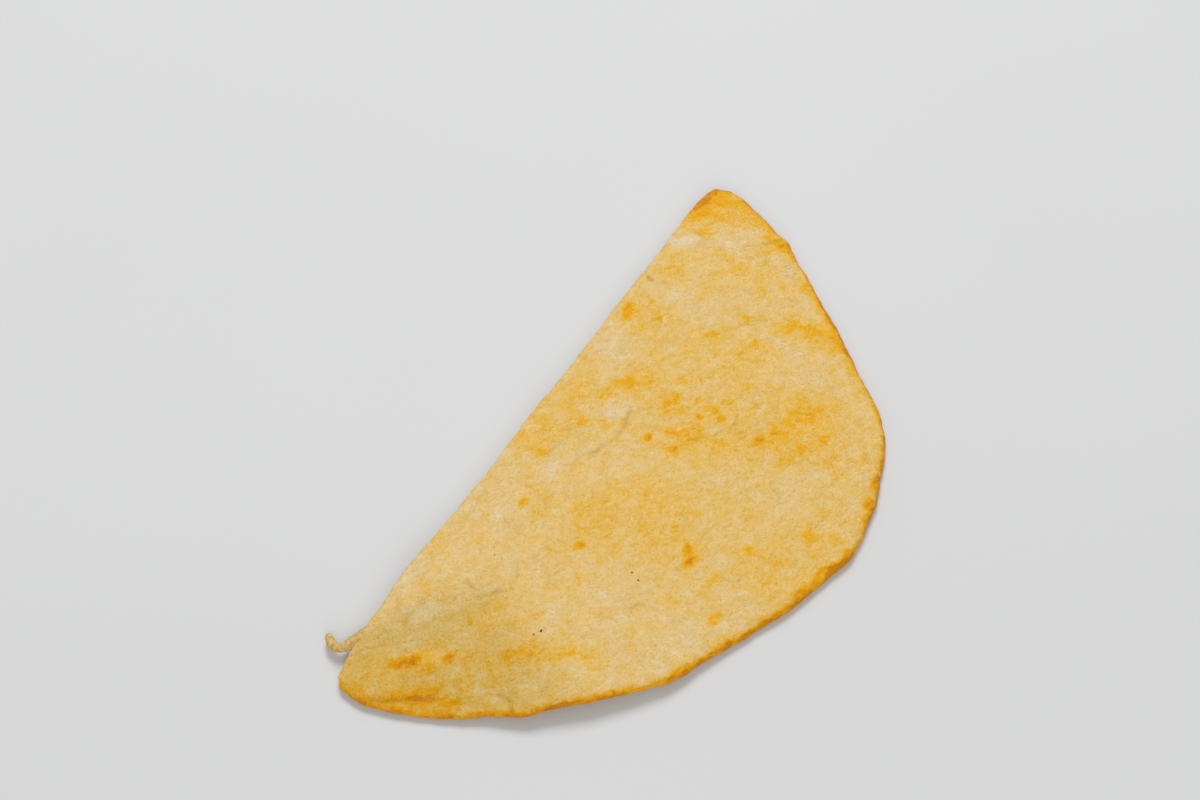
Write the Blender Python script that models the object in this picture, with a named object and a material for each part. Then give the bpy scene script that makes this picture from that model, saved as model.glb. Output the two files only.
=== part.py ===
"""Half of a hand-stretched round naan, cut once straight across and lying flat.

The cut edge runs along X and faces +Y, the baked crust bulges towards -Y, and +Z is up.
The origin is under the middle of the bounding box, on the surface that the bread rests on.
Plan places and sizes are in millimetres. They become metres where a mesh is made.
"""

import math

import bmesh
import bpy
import numpy as np
from mathutils import Vector, noise
from mathutils.geometry import delaunay_2d_cdt

MM = 0.001

# Thickness of the bread, from the thin baked rim to the softer middle.
BODY_THICKNESS = 5.6
RIM_THICKNESS = 3.5
RIM_TO_BODY = 13.0
LEFT_TIP_THINNING = 1.1
LEFT_TIP_FROM = -78.0
LEFT_TIP_TO = -122.0

# The rounded section of the crust, and the knife-cut section of the straight edge.
CRUST_ROUNDING_TOP = 4.6
CRUST_ROUNDING_UNDER = 2.6
CRUST_WAIST = 1.5
CRUST_SECTION_ANGLES = (90, 64, 42, 21, 0, -30, -62, -90)
CUT_SECTION = (
    (2.4, 1.0), (1.0, 0.99), (0.3, 0.94), (0.0, 0.8), (0.0, 0.5), (0.0, 0.22), (0.25, 0.05), (1.6, 0.0),
)
CUT_NORMAL_FROM = 0.55
CUT_NORMAL_TO = 0.9

# Plan outline, counter-clockwise from the right tip. The stretches between the points are smooth.
RIGHT_TIP = ((114.4, -5.5), (112.6, -2.8), (109.0, -1.2), (103.5, -0.3))
CUT_RIGHT_END = 95.0
CUT_LEFT_END = -101.0
CUT_POINT_SPACING = 18.0
LEFT_TIP = (
    (-107.0, 0.1), (-114.0, -0.5), (-120.5, -1.8), (-125.0, -2.8), (-127.4, -5.2), (-128.1, -10.5),
)
CRUST = (
    (-126.4, -20.5), (-122.9, -30.3), (-117.9, -40.3), (-111.9, -50.9), (-106.2, -58.9), (-98.7, -65.9),
    (-86.7, -78.8), (-78.7, -85.8), (-70.6, -91.7), (-60.6, -96.7), (-48.6, -102.1), (-38.5, -106.5),
    (-28.5, -110.5), (-18.5, -113.5), (-4.5, -117.5), (9.5, -116.5), (21.5, -114.0), (32.5, -110.2),
    (42.0, -106.8), (50.2, -102.0), (58.4, -94.6), (65.4, -85.6), (71.9, -77.6), (80.2, -68.0),
    (88.0, -57.8), (95.2, -49.2), (101.0, -40.5), (105.0, -35.5), (106.0, -32.0), (109.0, -26.5),
    (111.5, -18.5), (113.8, -11.0),
)
CURVE_STEPS = 24
CRUST_WOBBLE = 0.35
CRUST_WOBBLE_LENGTH = 11.0
CUT_WANDER = 0.45
CUT_WANDER_LENGTH = 22.0

# Swells and dents of the upper face: x, y, half length, half width, turn in degrees, height.
SWELLS = (
    (30.0, -80.0, 25.0, 21.0, 20.0, 1.9),
    (-18.0, -50.0, 40.0, 25.0, 15.0, 0.9),
    (66.0, -30.0, 24.0, 17.0, -35.0, 0.8),
    (-60.0, -52.0, 22.0, 17.0, 25.0, 0.5),
    (-10.0, -98.0, 26.0, 10.0, 5.0, 0.5),
    (-42.0, -86.0, 17.0, 9.0, 25.0, 0.45),
    (-52.0, -13.0, 26.0, 9.0, 0.0, 0.55),
    (8.0, -12.0, 15.0, 9.0, 0.0, 0.5),
    (100.0, -14.0, 9.0, 14.0, 0.0, 0.5),
    (-62.0, -73.0, 8.5, 7.0, 0.0, 0.7),
    (-62.0, -73.0, 5.0, 4.2, 0.0, -1.3),
    (31.0, -16.0, 11.0, 5.0, -42.0, -0.8),
    (-83.0, -31.0, 7.0, 4.5, 10.0, -0.9),
    (-72.0, -24.5, 9.0, 4.0, -10.0, 0.6),
    (56.0, -60.0, 10.0, 14.0, -35.0, -0.6),
    (-4.0, -70.0, 9.0, 16.0, 10.0, -0.45),
)
SWELL_FALL = 1.4

# Creases pressed into the upper face: half width, depth, height of the lip beside it, and the path.
CREASES = (
    (2.6, 0.75, 0.25, ((-22.0, -21.0), (-11.0, -27.0), (4.0, -29.0), (11.0, -27.5))),
    (2.4, 0.7, 0.2, ((10.0, -51.0), (16.0, -57.5), (23.0, -58.5))),
    (3.4, 0.8, 0.0, ((30.0, -58.5), (42.0, -66.0), (51.0, -79.0), (51.0, -92.0))),
    (2.6, 0.9, 0.3, ((-125.5, -16.0), (-121.0, -22.0), (-118.0, -27.5), (-114.0, -35.0))),
    (2.2, 0.9, 0.2, ((-110.5, -57.0), (-105.5, -54.0), (-104.5, -49.0))),
    (2.2, 0.5, 0.2, ((-79.0, -24.5), (-77.0, -28.5), (-70.0, -30.5), (-61.0, -29.5))),
    (2.2, 0.7, 0.1, ((62.5, -3.5), (63.5, -9.5))),
    (2.4, 0.6, 0.2, ((103.0, -35.0), (97.0, -29.5), (93.0, -24.0))),
)
LIP_PLACE = 1.6
LIP_FALL = 2.0
PATH_STEPS = 6

# Pale folds where the bread once bent: half width, height, and the path.
FOLDS = (
    (4.0, 0.8, ((-99.0, -5.0), (-90.0, -11.0), (-84.0, -20.0), (-81.0, -27.0))),
    (3.6, 0.7, ((82.0, -1.0), (87.5, -9.0), (89.0, -24.0), (90.0, -44.0))),
)

# Gentle rise of the whole sheet off the surface: the left bend and the right tip.
BEND_CENTRE = (-90.0, -40.0)
BEND_LEAN = 0.12
BEND_REACH = 34.0
BEND_LIFT = 2.3
TIP_LIFT_FROM = 90.0
TIP_LIFT_TO = 116.0
TIP_LIFT = 1.5
EDGE_CURL = 0.9
EDGE_CURL_REACH = 16.0
EDGE_CURL_LENGTH = 46.0

# Slow unevenness of the dough in the upper face: height and wavelength.
UNEVENNESS = ((0.35, 24.0), (0.2, 10.0))
NOISE_GAIN = 2.0

# Depths at which the noise field is read, one for each use, so that no two uses look alike.
CRUST_LAYER = 3.7
CUT_LAYER = 8.2
CURL_LAYER = 5.1
DOUGH_LAYER = 11.3

# A shred of dough torn loose at the left end of the cut: plan path with height, then its section.
SHRED_PATH = (
    (-102.0, -2.6, 3.3), (-107.0, -0.4, 3.3), (-111.5, 0.8, 3.2), (-114.8, 1.5, 3.1), (-116.3, 3.4, 3.0),
    (-115.9, 5.8, 2.7), (-114.6, 8.0, 2.4), (-113.6, 9.3, 2.2),
)
SHRED_WIDTH = 3.1
SHRED_THICKNESS = 2.7
SHRED_TIP_SHARE = 0.55
SHRED_NARROWS_FROM = 0.55
SHRED_SIDES = 10
SHRED_STEPS = 3

# Mesh fineness: spacing along the outline, on the upper face and on the underside.
OUTLINE_STEP = 3.0
TOP_STEP = 2.9
UNDER_STEP = 6.0
EDGE_CLEARANCE = 0.55
SAME_POINT = 1e-6
SHARP_FROM = math.radians(50.0)

CRUST_COLOUR = (0.72, 0.44, 0.12, 1.0)
CRUST_ROUGHNESS = 0.55


def clear_scene():
    """Removes every object that the file starts with."""
    for thing in list(bpy.data.objects):
        bpy.data.objects.remove(thing, do_unlink=True)


def ease(value, low, high):
    """Runs smoothly from 0 at low to 1 at high."""
    share = np.clip((value - low) / (high - low), 0.0, 1.0)
    return share * share * (3.0 - 2.0 * share)


def ripple(plan, wavelength, layer):
    """Smooth noise from about -1 to 1 at each plan place, its own for each layer."""
    values = [noise.noise(Vector((x / wavelength, y / wavelength, layer))) for x, y in plan]
    return np.array(values) * NOISE_GAIN


def smooth_curve(points, steps, closed):
    """A curve through the points, each tangent weighed by the chords on its two sides."""
    points = np.asarray(points, float)
    if not closed:
        points = np.vstack([2.0 * points[0] - points[1], points, 2.0 * points[-1] - points[-2]])
    chord = np.linalg.norm(np.roll(points, -1, axis=0) - points, axis=1)[:, None]
    slope = (np.roll(points, -1, axis=0) - points) / chord
    chord_before = np.roll(chord, 1, axis=0)
    slope_before = np.roll(slope, 1, axis=0)
    tangent = (slope * chord_before + slope_before * chord) / (chord + chord_before)
    start, end = points[:, None], np.roll(points, -1, axis=0)[:, None]
    leave, arrive = (tangent * chord)[:, None], (np.roll(tangent, -1, axis=0) * chord)[:, None]
    t = np.linspace(0.0, 1.0, steps, endpoint=False)[None, :, None]
    curve = (
        (2 * t**3 - 3 * t**2 + 1) * start
        + (t**3 - 2 * t**2 + t) * leave
        + (3 * t**2 - 2 * t**3) * end
        + (t**3 - t**2) * arrive
    )
    if closed:
        return curve.reshape(-1, points.shape[1])
    inner = curve[1:-2].reshape(-1, points.shape[1])
    return np.vstack([inner, points[-2]])


def evenly(loop, step):
    """The closed loop again, with points a step apart along it."""
    closed = np.vstack([loop, loop[:1]])
    run = np.concatenate([[0.0], np.cumsum(np.linalg.norm(np.diff(closed, axis=0), axis=1))])
    at = np.linspace(0.0, run[-1], round(run[-1] / step), endpoint=False)
    return np.stack([np.interp(at, run, closed[:, axis]) for axis in range(2)], axis=1)


def outward_normals(loop, reach):
    """The outline's outward directions, taken across a few points on each side."""
    along = np.roll(loop, -reach, axis=0) - np.roll(loop, reach, axis=0)
    along /= np.linalg.norm(along, axis=1)[:, None]
    return np.stack([along[:, 1], -along[:, 0]], axis=1)


def outline():
    """The plan outline, its outward normals, and how much of each place is cut face."""
    count = round((CUT_RIGHT_END - CUT_LEFT_END) / CUT_POINT_SPACING)
    cut = [(x, 0.0) for x in np.linspace(CUT_RIGHT_END, CUT_LEFT_END, count)]
    corners = [*RIGHT_TIP, *cut, *LEFT_TIP, *CRUST]
    loop = evenly(smooth_curve(corners, CURVE_STEPS, True), OUTLINE_STEP)
    normals = outward_normals(loop, 1)
    cut_share = ease(normals[:, 1], CUT_NORMAL_FROM, CUT_NORMAL_TO)
    crust_wobble = CRUST_WOBBLE * ripple(loop, CRUST_WOBBLE_LENGTH, CRUST_LAYER)
    cut_wobble = CUT_WANDER * ripple(loop, CUT_WANDER_LENGTH, CUT_LAYER)
    loop = loop + normals * (crust_wobble * (1.0 - cut_share) + cut_wobble * cut_share)[:, None]
    return loop, outward_normals(loop, 2), cut_share


def crust_run(loop, cut_share):
    """The stretch of the outline that is baked crust, in order from the left tip to the right tip."""
    is_crust = cut_share < 0.5
    first = int(np.flatnonzero(is_crust & ~np.roll(is_crust, 1))[0])
    return np.roll(loop, -first, axis=0)[: is_crust.sum()]


def distance_to(plan, path):
    """Each plan place's distance to the nearest point of an open path."""
    nearest = np.full(len(plan), np.inf)
    for start, end in zip(path[:-1], path[1:]):
        along = end - start
        share = np.clip((plan - start) @ along / (along @ along), 0.0, 1.0)
        gap = np.linalg.norm(plan - start - share[:, None] * along, axis=1)
        nearest = np.minimum(nearest, gap)
    return nearest


def swell_heights(plan):
    """Height that the round swells and dents add at each plan place."""
    height = np.zeros(len(plan))
    for x, y, half_length, half_width, turn, rise in SWELLS:
        cos_turn, sin_turn = math.cos(math.radians(turn)), math.sin(math.radians(turn))
        across = plan - (x, y)
        u = (across[:, 0] * cos_turn + across[:, 1] * sin_turn) / half_length
        v = (across[:, 1] * cos_turn - across[:, 0] * sin_turn) / half_width
        height += rise * np.exp(-SWELL_FALL * (u * u + v * v))
    return height


def line_heights(plan):
    """Height that the creases and folds add at each plan place."""
    height = np.zeros(len(plan))
    for half_width, depth, lip, path in CREASES:
        gap = distance_to(plan, smooth_curve(path, PATH_STEPS, False)) / half_width
        height += lip * np.exp(-LIP_FALL * (gap - LIP_PLACE) ** 2) - depth * np.exp(-gap * gap)
    for half_width, rise, path in FOLDS:
        gap = distance_to(plan, smooth_curve(path, PATH_STEPS, False)) / half_width
        height += rise * np.exp(-gap * gap)
    return height


def lift(plan, crust_gap):
    """Height of the underside above the surface: nothing under the middle, a little at bends and tips."""
    from_bend = (plan[:, 0] - BEND_CENTRE[0] - BEND_LEAN * (plan[:, 1] - BEND_CENTRE[1])) / BEND_REACH
    bend = BEND_LIFT * np.clip(1.0 - from_bend**2, 0.0, None) ** 2
    tip = TIP_LIFT * ease(plan[:, 0], TIP_LIFT_FROM, TIP_LIFT_TO)
    curl_share = np.clip(1.0 - crust_gap / EDGE_CURL_REACH, 0.0, None) ** 2
    curl = EDGE_CURL * curl_share * np.clip(ripple(plan, EDGE_CURL_LENGTH, CURL_LAYER), 0.0, None)
    return bend + tip + curl


def thickness(plan, crust_gap):
    """Thickness of the bread at each plan place, before the edges are rounded."""
    body = BODY_THICKNESS - (BODY_THICKNESS - RIM_THICKNESS) * np.exp(-crust_gap / RIM_TO_BODY)
    body = body - LEFT_TIP_THINNING * ease(-plan[:, 0], -LEFT_TIP_FROM, -LEFT_TIP_TO)
    for layer, (height, wavelength) in enumerate(UNEVENNESS):
        body = body + height * ripple(plan, wavelength, DOUGH_LAYER + layer)
    return body + swell_heights(plan) + line_heights(plan)


def rim_rings(loop, normals, cut_share, crust):
    """Rings of points round the edge, from the upper face over the side to the underside."""
    rings = []
    for angle, (cut_inset, cut_height) in zip(CRUST_SECTION_ANGLES, CUT_SECTION):
        reach = CRUST_ROUNDING_TOP if angle > 0 else CRUST_ROUNDING_UNDER
        crust_inset = reach * (1.0 - math.cos(math.radians(angle)))
        inset = crust_inset * (1.0 - cut_share) + cut_inset * cut_share
        plan = loop - normals * inset[:, None]
        gap = distance_to(plan, crust)
        full = thickness(plan, gap)
        rise = math.sin(math.radians(angle))
        above = CRUST_WAIST + (full - CRUST_WAIST) * rise if angle > 0 else CRUST_WAIST * (1.0 + rise)
        height = above * (1.0 - cut_share) + full * cut_height * cut_share
        rings.append(np.column_stack([plan, lift(plan, gap) + height]))
    return rings


def filled(ring, step):
    """Triangulates the space inside a ring, with a triangular lattice of points between its sides."""
    low, high = ring.min(axis=0), ring.max(axis=0)
    row_step = step * math.sqrt(0.75)
    lattice = []
    for row in range(math.ceil((high[1] - low[1]) / row_step)):
        shift = 0.5 * step * (row % 2)
        columns = np.arange(low[0] + shift, high[0], step)
        lattice.append(np.column_stack([columns, np.full(len(columns), low[1] + row * row_step)]))
    lattice = np.vstack(lattice)
    closed = np.vstack([ring, ring[:1]])
    lattice = lattice[distance_to(lattice, closed) > EDGE_CLEARANCE * step]
    plan = np.vstack([ring, lattice])
    border = list(range(len(ring)))
    sides = [(i, (i + 1) % len(ring)) for i in border]
    places = [Vector(place) for place in plan]
    points, _, faces, sources, _, _ = delaunay_2d_cdt(places, sides, [border], 1, SAME_POINT)
    used = sorted({corner for face in faces for corner in face})
    renumbered = {old: new for new, old in enumerate(used)}
    faces = [tuple(renumbered[corner] for corner in face) for face in faces]
    first_sources = [sources[old][0] if sources[old] else -1 for old in used]
    return np.array([tuple(points[old]) for old in used]), faces, first_sources


def sheet_mesh():
    """The bread without its shred: rim rings, joined to an upper face and an underside."""
    loop, normals, cut_share = outline()
    crust = crust_run(loop, cut_share)
    rings = rim_rings(loop, normals, cut_share, crust)
    shape = bmesh.new()
    rows = [[shape.verts.new(Vector(point) * MM) for point in ring] for ring in rings]
    count = len(loop)
    for upper, lower in zip(rows[:-1], rows[1:]):
        for i in range(count):
            j = (i + 1) % count
            shape.faces.new((upper[j], upper[i], lower[i], lower[j]))
    faces_to_fill = ((rows[0], rings[0], TOP_STEP, True), (rows[-1], rings[-1], UNDER_STEP, False))
    for row, ring, step, is_top in faces_to_fill:
        plan, faces, sources = filled(ring[:, :2], step)
        gap = distance_to(plan, crust)
        height = lift(plan, gap) + (thickness(plan, gap) if is_top else 0.0)
        corners = []
        for place, z, source in zip(plan, height, sources):
            on_ring = 0 <= source < count
            corners.append(row[source] if on_ring else shape.verts.new(Vector((*place, z)) * MM))
        for face in faces:
            wound = face if is_top else tuple(reversed(face))
            shape.faces.new([corners[i] for i in wound])
    bmesh.ops.triangulate(shape, faces=shape.faces[:])
    bmesh.ops.recalc_face_normals(shape, faces=shape.faces[:])
    mesh = bpy.data.meshes.new("naan_half")
    shape.to_mesh(mesh)
    shape.free()
    return mesh


def shred_mesh():
    """The torn shred: a flattened round strip that leaves the cut face, turns out and narrows to its tip."""
    path = smooth_curve(SHRED_PATH, SHRED_STEPS, False)
    along = np.gradient(path, axis=0)
    along /= np.linalg.norm(along, axis=1)[:, None]
    shape = bmesh.new()
    rows = []
    for i, (centre, direction) in enumerate(zip(path, along)):
        share = i / (len(path) - 1)
        size = 1.0 - (1.0 - SHRED_TIP_SHARE) * ease(share, SHRED_NARROWS_FROM, 1.0)
        side = Vector((-direction[1], direction[0], 0.0)).normalized()
        row = []
        for k in range(SHRED_SIDES):
            angle = 2.0 * math.pi * k / SHRED_SIDES
            offset = side * (math.cos(angle) * SHRED_WIDTH * size / 2.0)
            offset.z = math.sin(angle) * SHRED_THICKNESS * size / 2.0
            row.append(shape.verts.new((Vector(centre) + offset) * MM))
        rows.append(row)
    for first, second in zip(rows[:-1], rows[1:]):
        for k in range(SHRED_SIDES):
            after = (k + 1) % SHRED_SIDES
            shape.faces.new((first[k], first[after], second[after], second[k]))
    shape.faces.new(rows[0])
    shape.faces.new(rows[-1])
    bmesh.ops.recalc_face_normals(shape, faces=shape.faces[:])
    mesh = bpy.data.meshes.new("torn_shred")
    shape.to_mesh(mesh)
    shape.free()
    return mesh


def place(name, mesh):
    """Puts a mesh into the scene under a name."""
    thing = bpy.data.objects.new(name, mesh)
    bpy.context.scene.collection.objects.link(thing)
    return thing


def fuse(body, pieces):
    """Joins the pieces to the body with one Boolean union, and removes them."""
    group = bpy.data.collections.new("fused_pieces")
    bpy.context.scene.collection.children.link(group)
    for piece in pieces:
        bpy.context.scene.collection.objects.unlink(piece)
        group.objects.link(piece)
        piece.hide_render = True
        piece.display_type = "WIRE"
    union = body.modifiers.new("fuse", "BOOLEAN")
    union.operation = "UNION"
    union.operand_type = "COLLECTION"
    union.collection = group
    union.solver = "EXACT"
    bpy.context.view_layer.update()
    graph = bpy.context.evaluated_depsgraph_get()
    joined = bpy.data.meshes.new_from_object(body.evaluated_get(graph))
    body.modifiers.remove(union)
    body.data = joined
    for piece in pieces:
        bpy.data.objects.remove(piece, do_unlink=True)
    bpy.data.collections.remove(group)


def centre_on_origin(thing):
    """Moves the mesh so that the middle of its bounding box is over the origin and its base at zero."""
    corners = np.array([vertex.co for vertex in thing.data.vertices])
    low, high = corners.min(axis=0), corners.max(axis=0)
    middle = (low + high) / 2.0
    for vertex in thing.data.vertices:
        vertex.co -= Vector((middle[0], middle[1], low[2]))


def baked_crust():
    """Golden baked dough, slightly glossy from oil."""
    material = bpy.data.materials.new("baked_crust")
    material.use_nodes = True
    shader = material.node_tree.nodes["Principled BSDF"]
    shader.inputs["Base Color"].default_value = CRUST_COLOUR
    shader.inputs["Roughness"].default_value = CRUST_ROUGHNESS
    shader.inputs["Metallic"].default_value = 0.0
    return material


def naan_half():
    """The whole piece of bread, one solid."""
    bread = place("naan_half", sheet_mesh())
    fuse(bread, [place("torn_shred", shred_mesh())])
    centre_on_origin(bread)
    bread.data.materials.clear()
    bread.data.materials.append(baked_crust())
    bread.data.shade_smooth()
    bread.data.set_sharp_from_angle(angle=SHARP_FROM)


clear_scene()
naan_half()
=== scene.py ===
"""Looks for one half of a hand-stretched naan: oiled skin, toasted blisters, browned rim and open crumb.

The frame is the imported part's: metres, +Z up, the cut edge along X facing +Y, the baked crust towards -Y.
Plan places and sizes in the classes are in millimetres, and they become metres where a mesh is made.
"""

import logging
import math
from dataclasses import dataclass, field, replace
from enum import Enum
from typing import Any

import bpy
import numpy as np
from mathutils import Matrix, Vector, noise
from mathutils.bvhtree import BVHTree
from mathutils.geometry import delaunay_2d_cdt
from mathutils.kdtree import KDTree
from numpy.typing import NDArray

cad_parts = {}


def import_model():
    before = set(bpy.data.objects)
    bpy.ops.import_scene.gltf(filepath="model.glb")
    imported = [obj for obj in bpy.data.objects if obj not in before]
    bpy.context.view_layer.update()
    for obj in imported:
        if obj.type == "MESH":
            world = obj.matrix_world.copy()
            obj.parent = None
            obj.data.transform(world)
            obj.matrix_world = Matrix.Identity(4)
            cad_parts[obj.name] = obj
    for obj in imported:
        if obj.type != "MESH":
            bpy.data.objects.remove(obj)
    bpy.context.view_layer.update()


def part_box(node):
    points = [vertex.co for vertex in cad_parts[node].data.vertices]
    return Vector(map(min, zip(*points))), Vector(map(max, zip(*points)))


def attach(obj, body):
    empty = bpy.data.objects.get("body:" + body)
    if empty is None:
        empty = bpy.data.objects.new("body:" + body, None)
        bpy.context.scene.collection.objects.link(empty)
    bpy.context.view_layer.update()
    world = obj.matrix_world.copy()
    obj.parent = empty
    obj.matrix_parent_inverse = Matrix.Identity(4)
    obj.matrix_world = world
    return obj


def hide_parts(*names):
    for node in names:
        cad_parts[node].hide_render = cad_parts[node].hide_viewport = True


LOG = logging.getLogger("naan_half")
CAD_NODE = "naan_half"
BODY = "root"
MM = 0.001
MATH = "ShaderNodeMath"
VECTOR_MATH = "ShaderNodeVectorMath"
NOISE = "ShaderNodeTexNoise"
MIX = "ShaderNodeMix"
MAP_RANGE = "ShaderNodeMapRange"

Plan = NDArray[np.float64]
Row = NDArray[np.float64]
Tree = bpy.types.NodeTree
Socket = bpy.types.NodeSocket
Colour = tuple[float, float, float, float]
Pair = tuple[float, float]
Table = tuple[tuple[float, ...], ...]


class Slot(Enum):
    """The record's material slots."""

    CRUST = "baked_crust"
    CRUMB = "open_crumb"
    CHAR = "charred_speck"


class Layer(Enum):
    """Depths at which the noise field is read, one for each use, so that no two uses look alike."""

    CRUST = 3.7
    CUT = 8.2
    CURL = 5.1
    DOUGH = 11.3
    FINE_CRUST = 21.9
    FINE_CUT = 26.4
    LUMPS = 31.1
    WARP_X = 41.5
    WARP_Y = 44.8
    FINE_WARP_X = 47.2
    FINE_WARP_Y = 49.6
    BROWNING = 53.3
    FINE_BROWNING = 57.7
    RIM = 61.9
    UNDER_PATCH = 67.4
    UNDER_SPOT = 71.8
    BREAKS = 81.6
    FLOURED = 84.3
    CRUMBLED = 88.8
    LINE_X = 92.2
    LINE_Y = 95.6
    FINE_RIM = 98.3
    RIM_TONE = 101.7


def linear(hex_colour: str) -> Colour:
    """Turns an sRGB hex colour into the linear values that a shader takes.

    Args:
        hex_colour: six hex digits, without a hash sign.

    Returns:
        Linear red, green and blue, with full alpha.
    """
    channels = [int(hex_colour[i : i + 2], 16) / 255.0 for i in (0, 2, 4)]
    flat = [c / 12.92 if c <= 0.04045 else ((c + 0.055) / 1.055) ** 2.4 for c in channels]
    return (flat[0], flat[1], flat[2], 1.0)


def add_node(
    tree: Tree, kind: str, fill: dict | None = None, out: int | str = 0, **settings: Any
) -> Socket | None:
    """Adds a node to a tree with its settings, and fills or links its inputs.

    Args:
        tree: the material's or the geometry tree.
        kind: the node's type name.
        fill: for each input, by name or number, a plain value or the output socket that feeds it.
        out: the output that is wanted, by name or number.
        **settings: the node's own properties.

    Returns:
        The wanted output socket, or nothing for a node that has none.
    """
    node = tree.nodes.new(kind)
    for name, value in settings.items():
        setattr(node, name, value)
    for key, value in (fill or {}).items():
        if isinstance(value, Socket):
            tree.links.new(value, node.inputs[key])
        else:
            node.inputs[key].default_value = value
    return node.outputs[out] if node.outputs else None


def ease(value: Row, low: float, high: float) -> Row:
    """Runs smoothly from 0 to 1.

    Args:
        value: the numbers to ease.
        low: where the result is 0.
        high: where the result is 1.

    Returns:
        The eased share at each value.
    """
    share = np.clip((value - low) / (high - low), 0.0, 1.0)
    return share * share * (3.0 - 2.0 * share)


def ripple(plan: Plan, wavelength: float, layer: Layer, number: int = 0) -> Row:
    """Smooth noise over the plan.

    Args:
        plan: plan places.
        wavelength: size of the swells of the noise.
        layer: what the noise is for.
        number: which noise it is, where one use takes several.

    Returns:
        A value from about -1 to 1 at each place.
    """
    gain, depth = 2.0, layer.value + number
    values = [noise.noise(Vector((x / wavelength, y / wavelength, depth))) for x, y in plan.tolist()]
    return np.array(values) * gain


def smooth_curve(points: Any, steps: int, closed: bool) -> NDArray[np.float64]:
    """A curve through points, each tangent weighed by the chords on its two sides.

    Args:
        points: the points that the curve passes through.
        steps: how many points the curve has for each stretch.
        closed: whether the curve runs back to its start.

    Returns:
        The points of the curve.
    """
    points = np.asarray(points, float)
    if not closed:
        points = np.vstack([2.0 * points[0] - points[1], points, 2.0 * points[-1] - points[-2]])
    chord = np.linalg.norm(np.roll(points, -1, axis=0) - points, axis=1)[:, None]
    slope = (np.roll(points, -1, axis=0) - points) / chord
    chord_before, slope_before = np.roll(chord, 1, axis=0), np.roll(slope, 1, axis=0)
    tangent = (slope * chord_before + slope_before * chord) / (chord + chord_before)
    start, end = points[:, None], np.roll(points, -1, axis=0)[:, None]
    leave, arrive = (tangent * chord)[:, None], (np.roll(tangent, -1, axis=0) * chord)[:, None]
    t = np.linspace(0.0, 1.0, steps, endpoint=False)[None, :, None]
    curve = (
        (2 * t**3 - 3 * t**2 + 1) * start
        + (t**3 - 2 * t**2 + t) * leave
        + (3 * t**2 - 2 * t**3) * end
        + (t**3 - t**2) * arrive
    )
    if closed:
        return curve.reshape(-1, points.shape[1])
    return np.vstack([curve[1:-2].reshape(-1, points.shape[1]), points[-2]])


def distance_to(plan: Plan, path: Plan) -> Row:
    """Distance from each plan place to an open path.

    Args:
        plan: plan places.
        path: the points of the path.

    Returns:
        The distances.
    """
    nearest = np.full(len(plan), np.inf)
    for start, end in zip(path[:-1], path[1:]):
        along = end - start
        share = np.clip((plan - start) @ along / (along @ along), 0.0, 1.0)
        nearest = np.minimum(nearest, np.linalg.norm(plan - start - share[:, None] * along, axis=1))
    return nearest


def nearest_on(plan: Plan, points: Plan) -> tuple[Row, NDArray[np.int64]]:
    """The nearest of many points to each plan place.

    Args:
        plan: plan places.
        points: the points that are searched.

    Returns:
        The distance to the nearest point, and that point's number.
    """
    tree = KDTree(len(points))
    for i, (x, y) in enumerate(points.tolist()):
        tree.insert((x, y, 0.0), i)
    tree.balance()
    found = [tree.find((x, y, 0.0)) for x, y in plan.tolist()]
    return np.array([hit[2] for hit in found]), np.array([hit[1] for hit in found])


@dataclass(frozen=True)
class Edge:
    """The traced plan edge, counter-clockwise: points, outward directions, share of cut, baked stretch."""

    loop: Plan
    normals: Plan
    cut_share: Row
    crust: Plan


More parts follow.
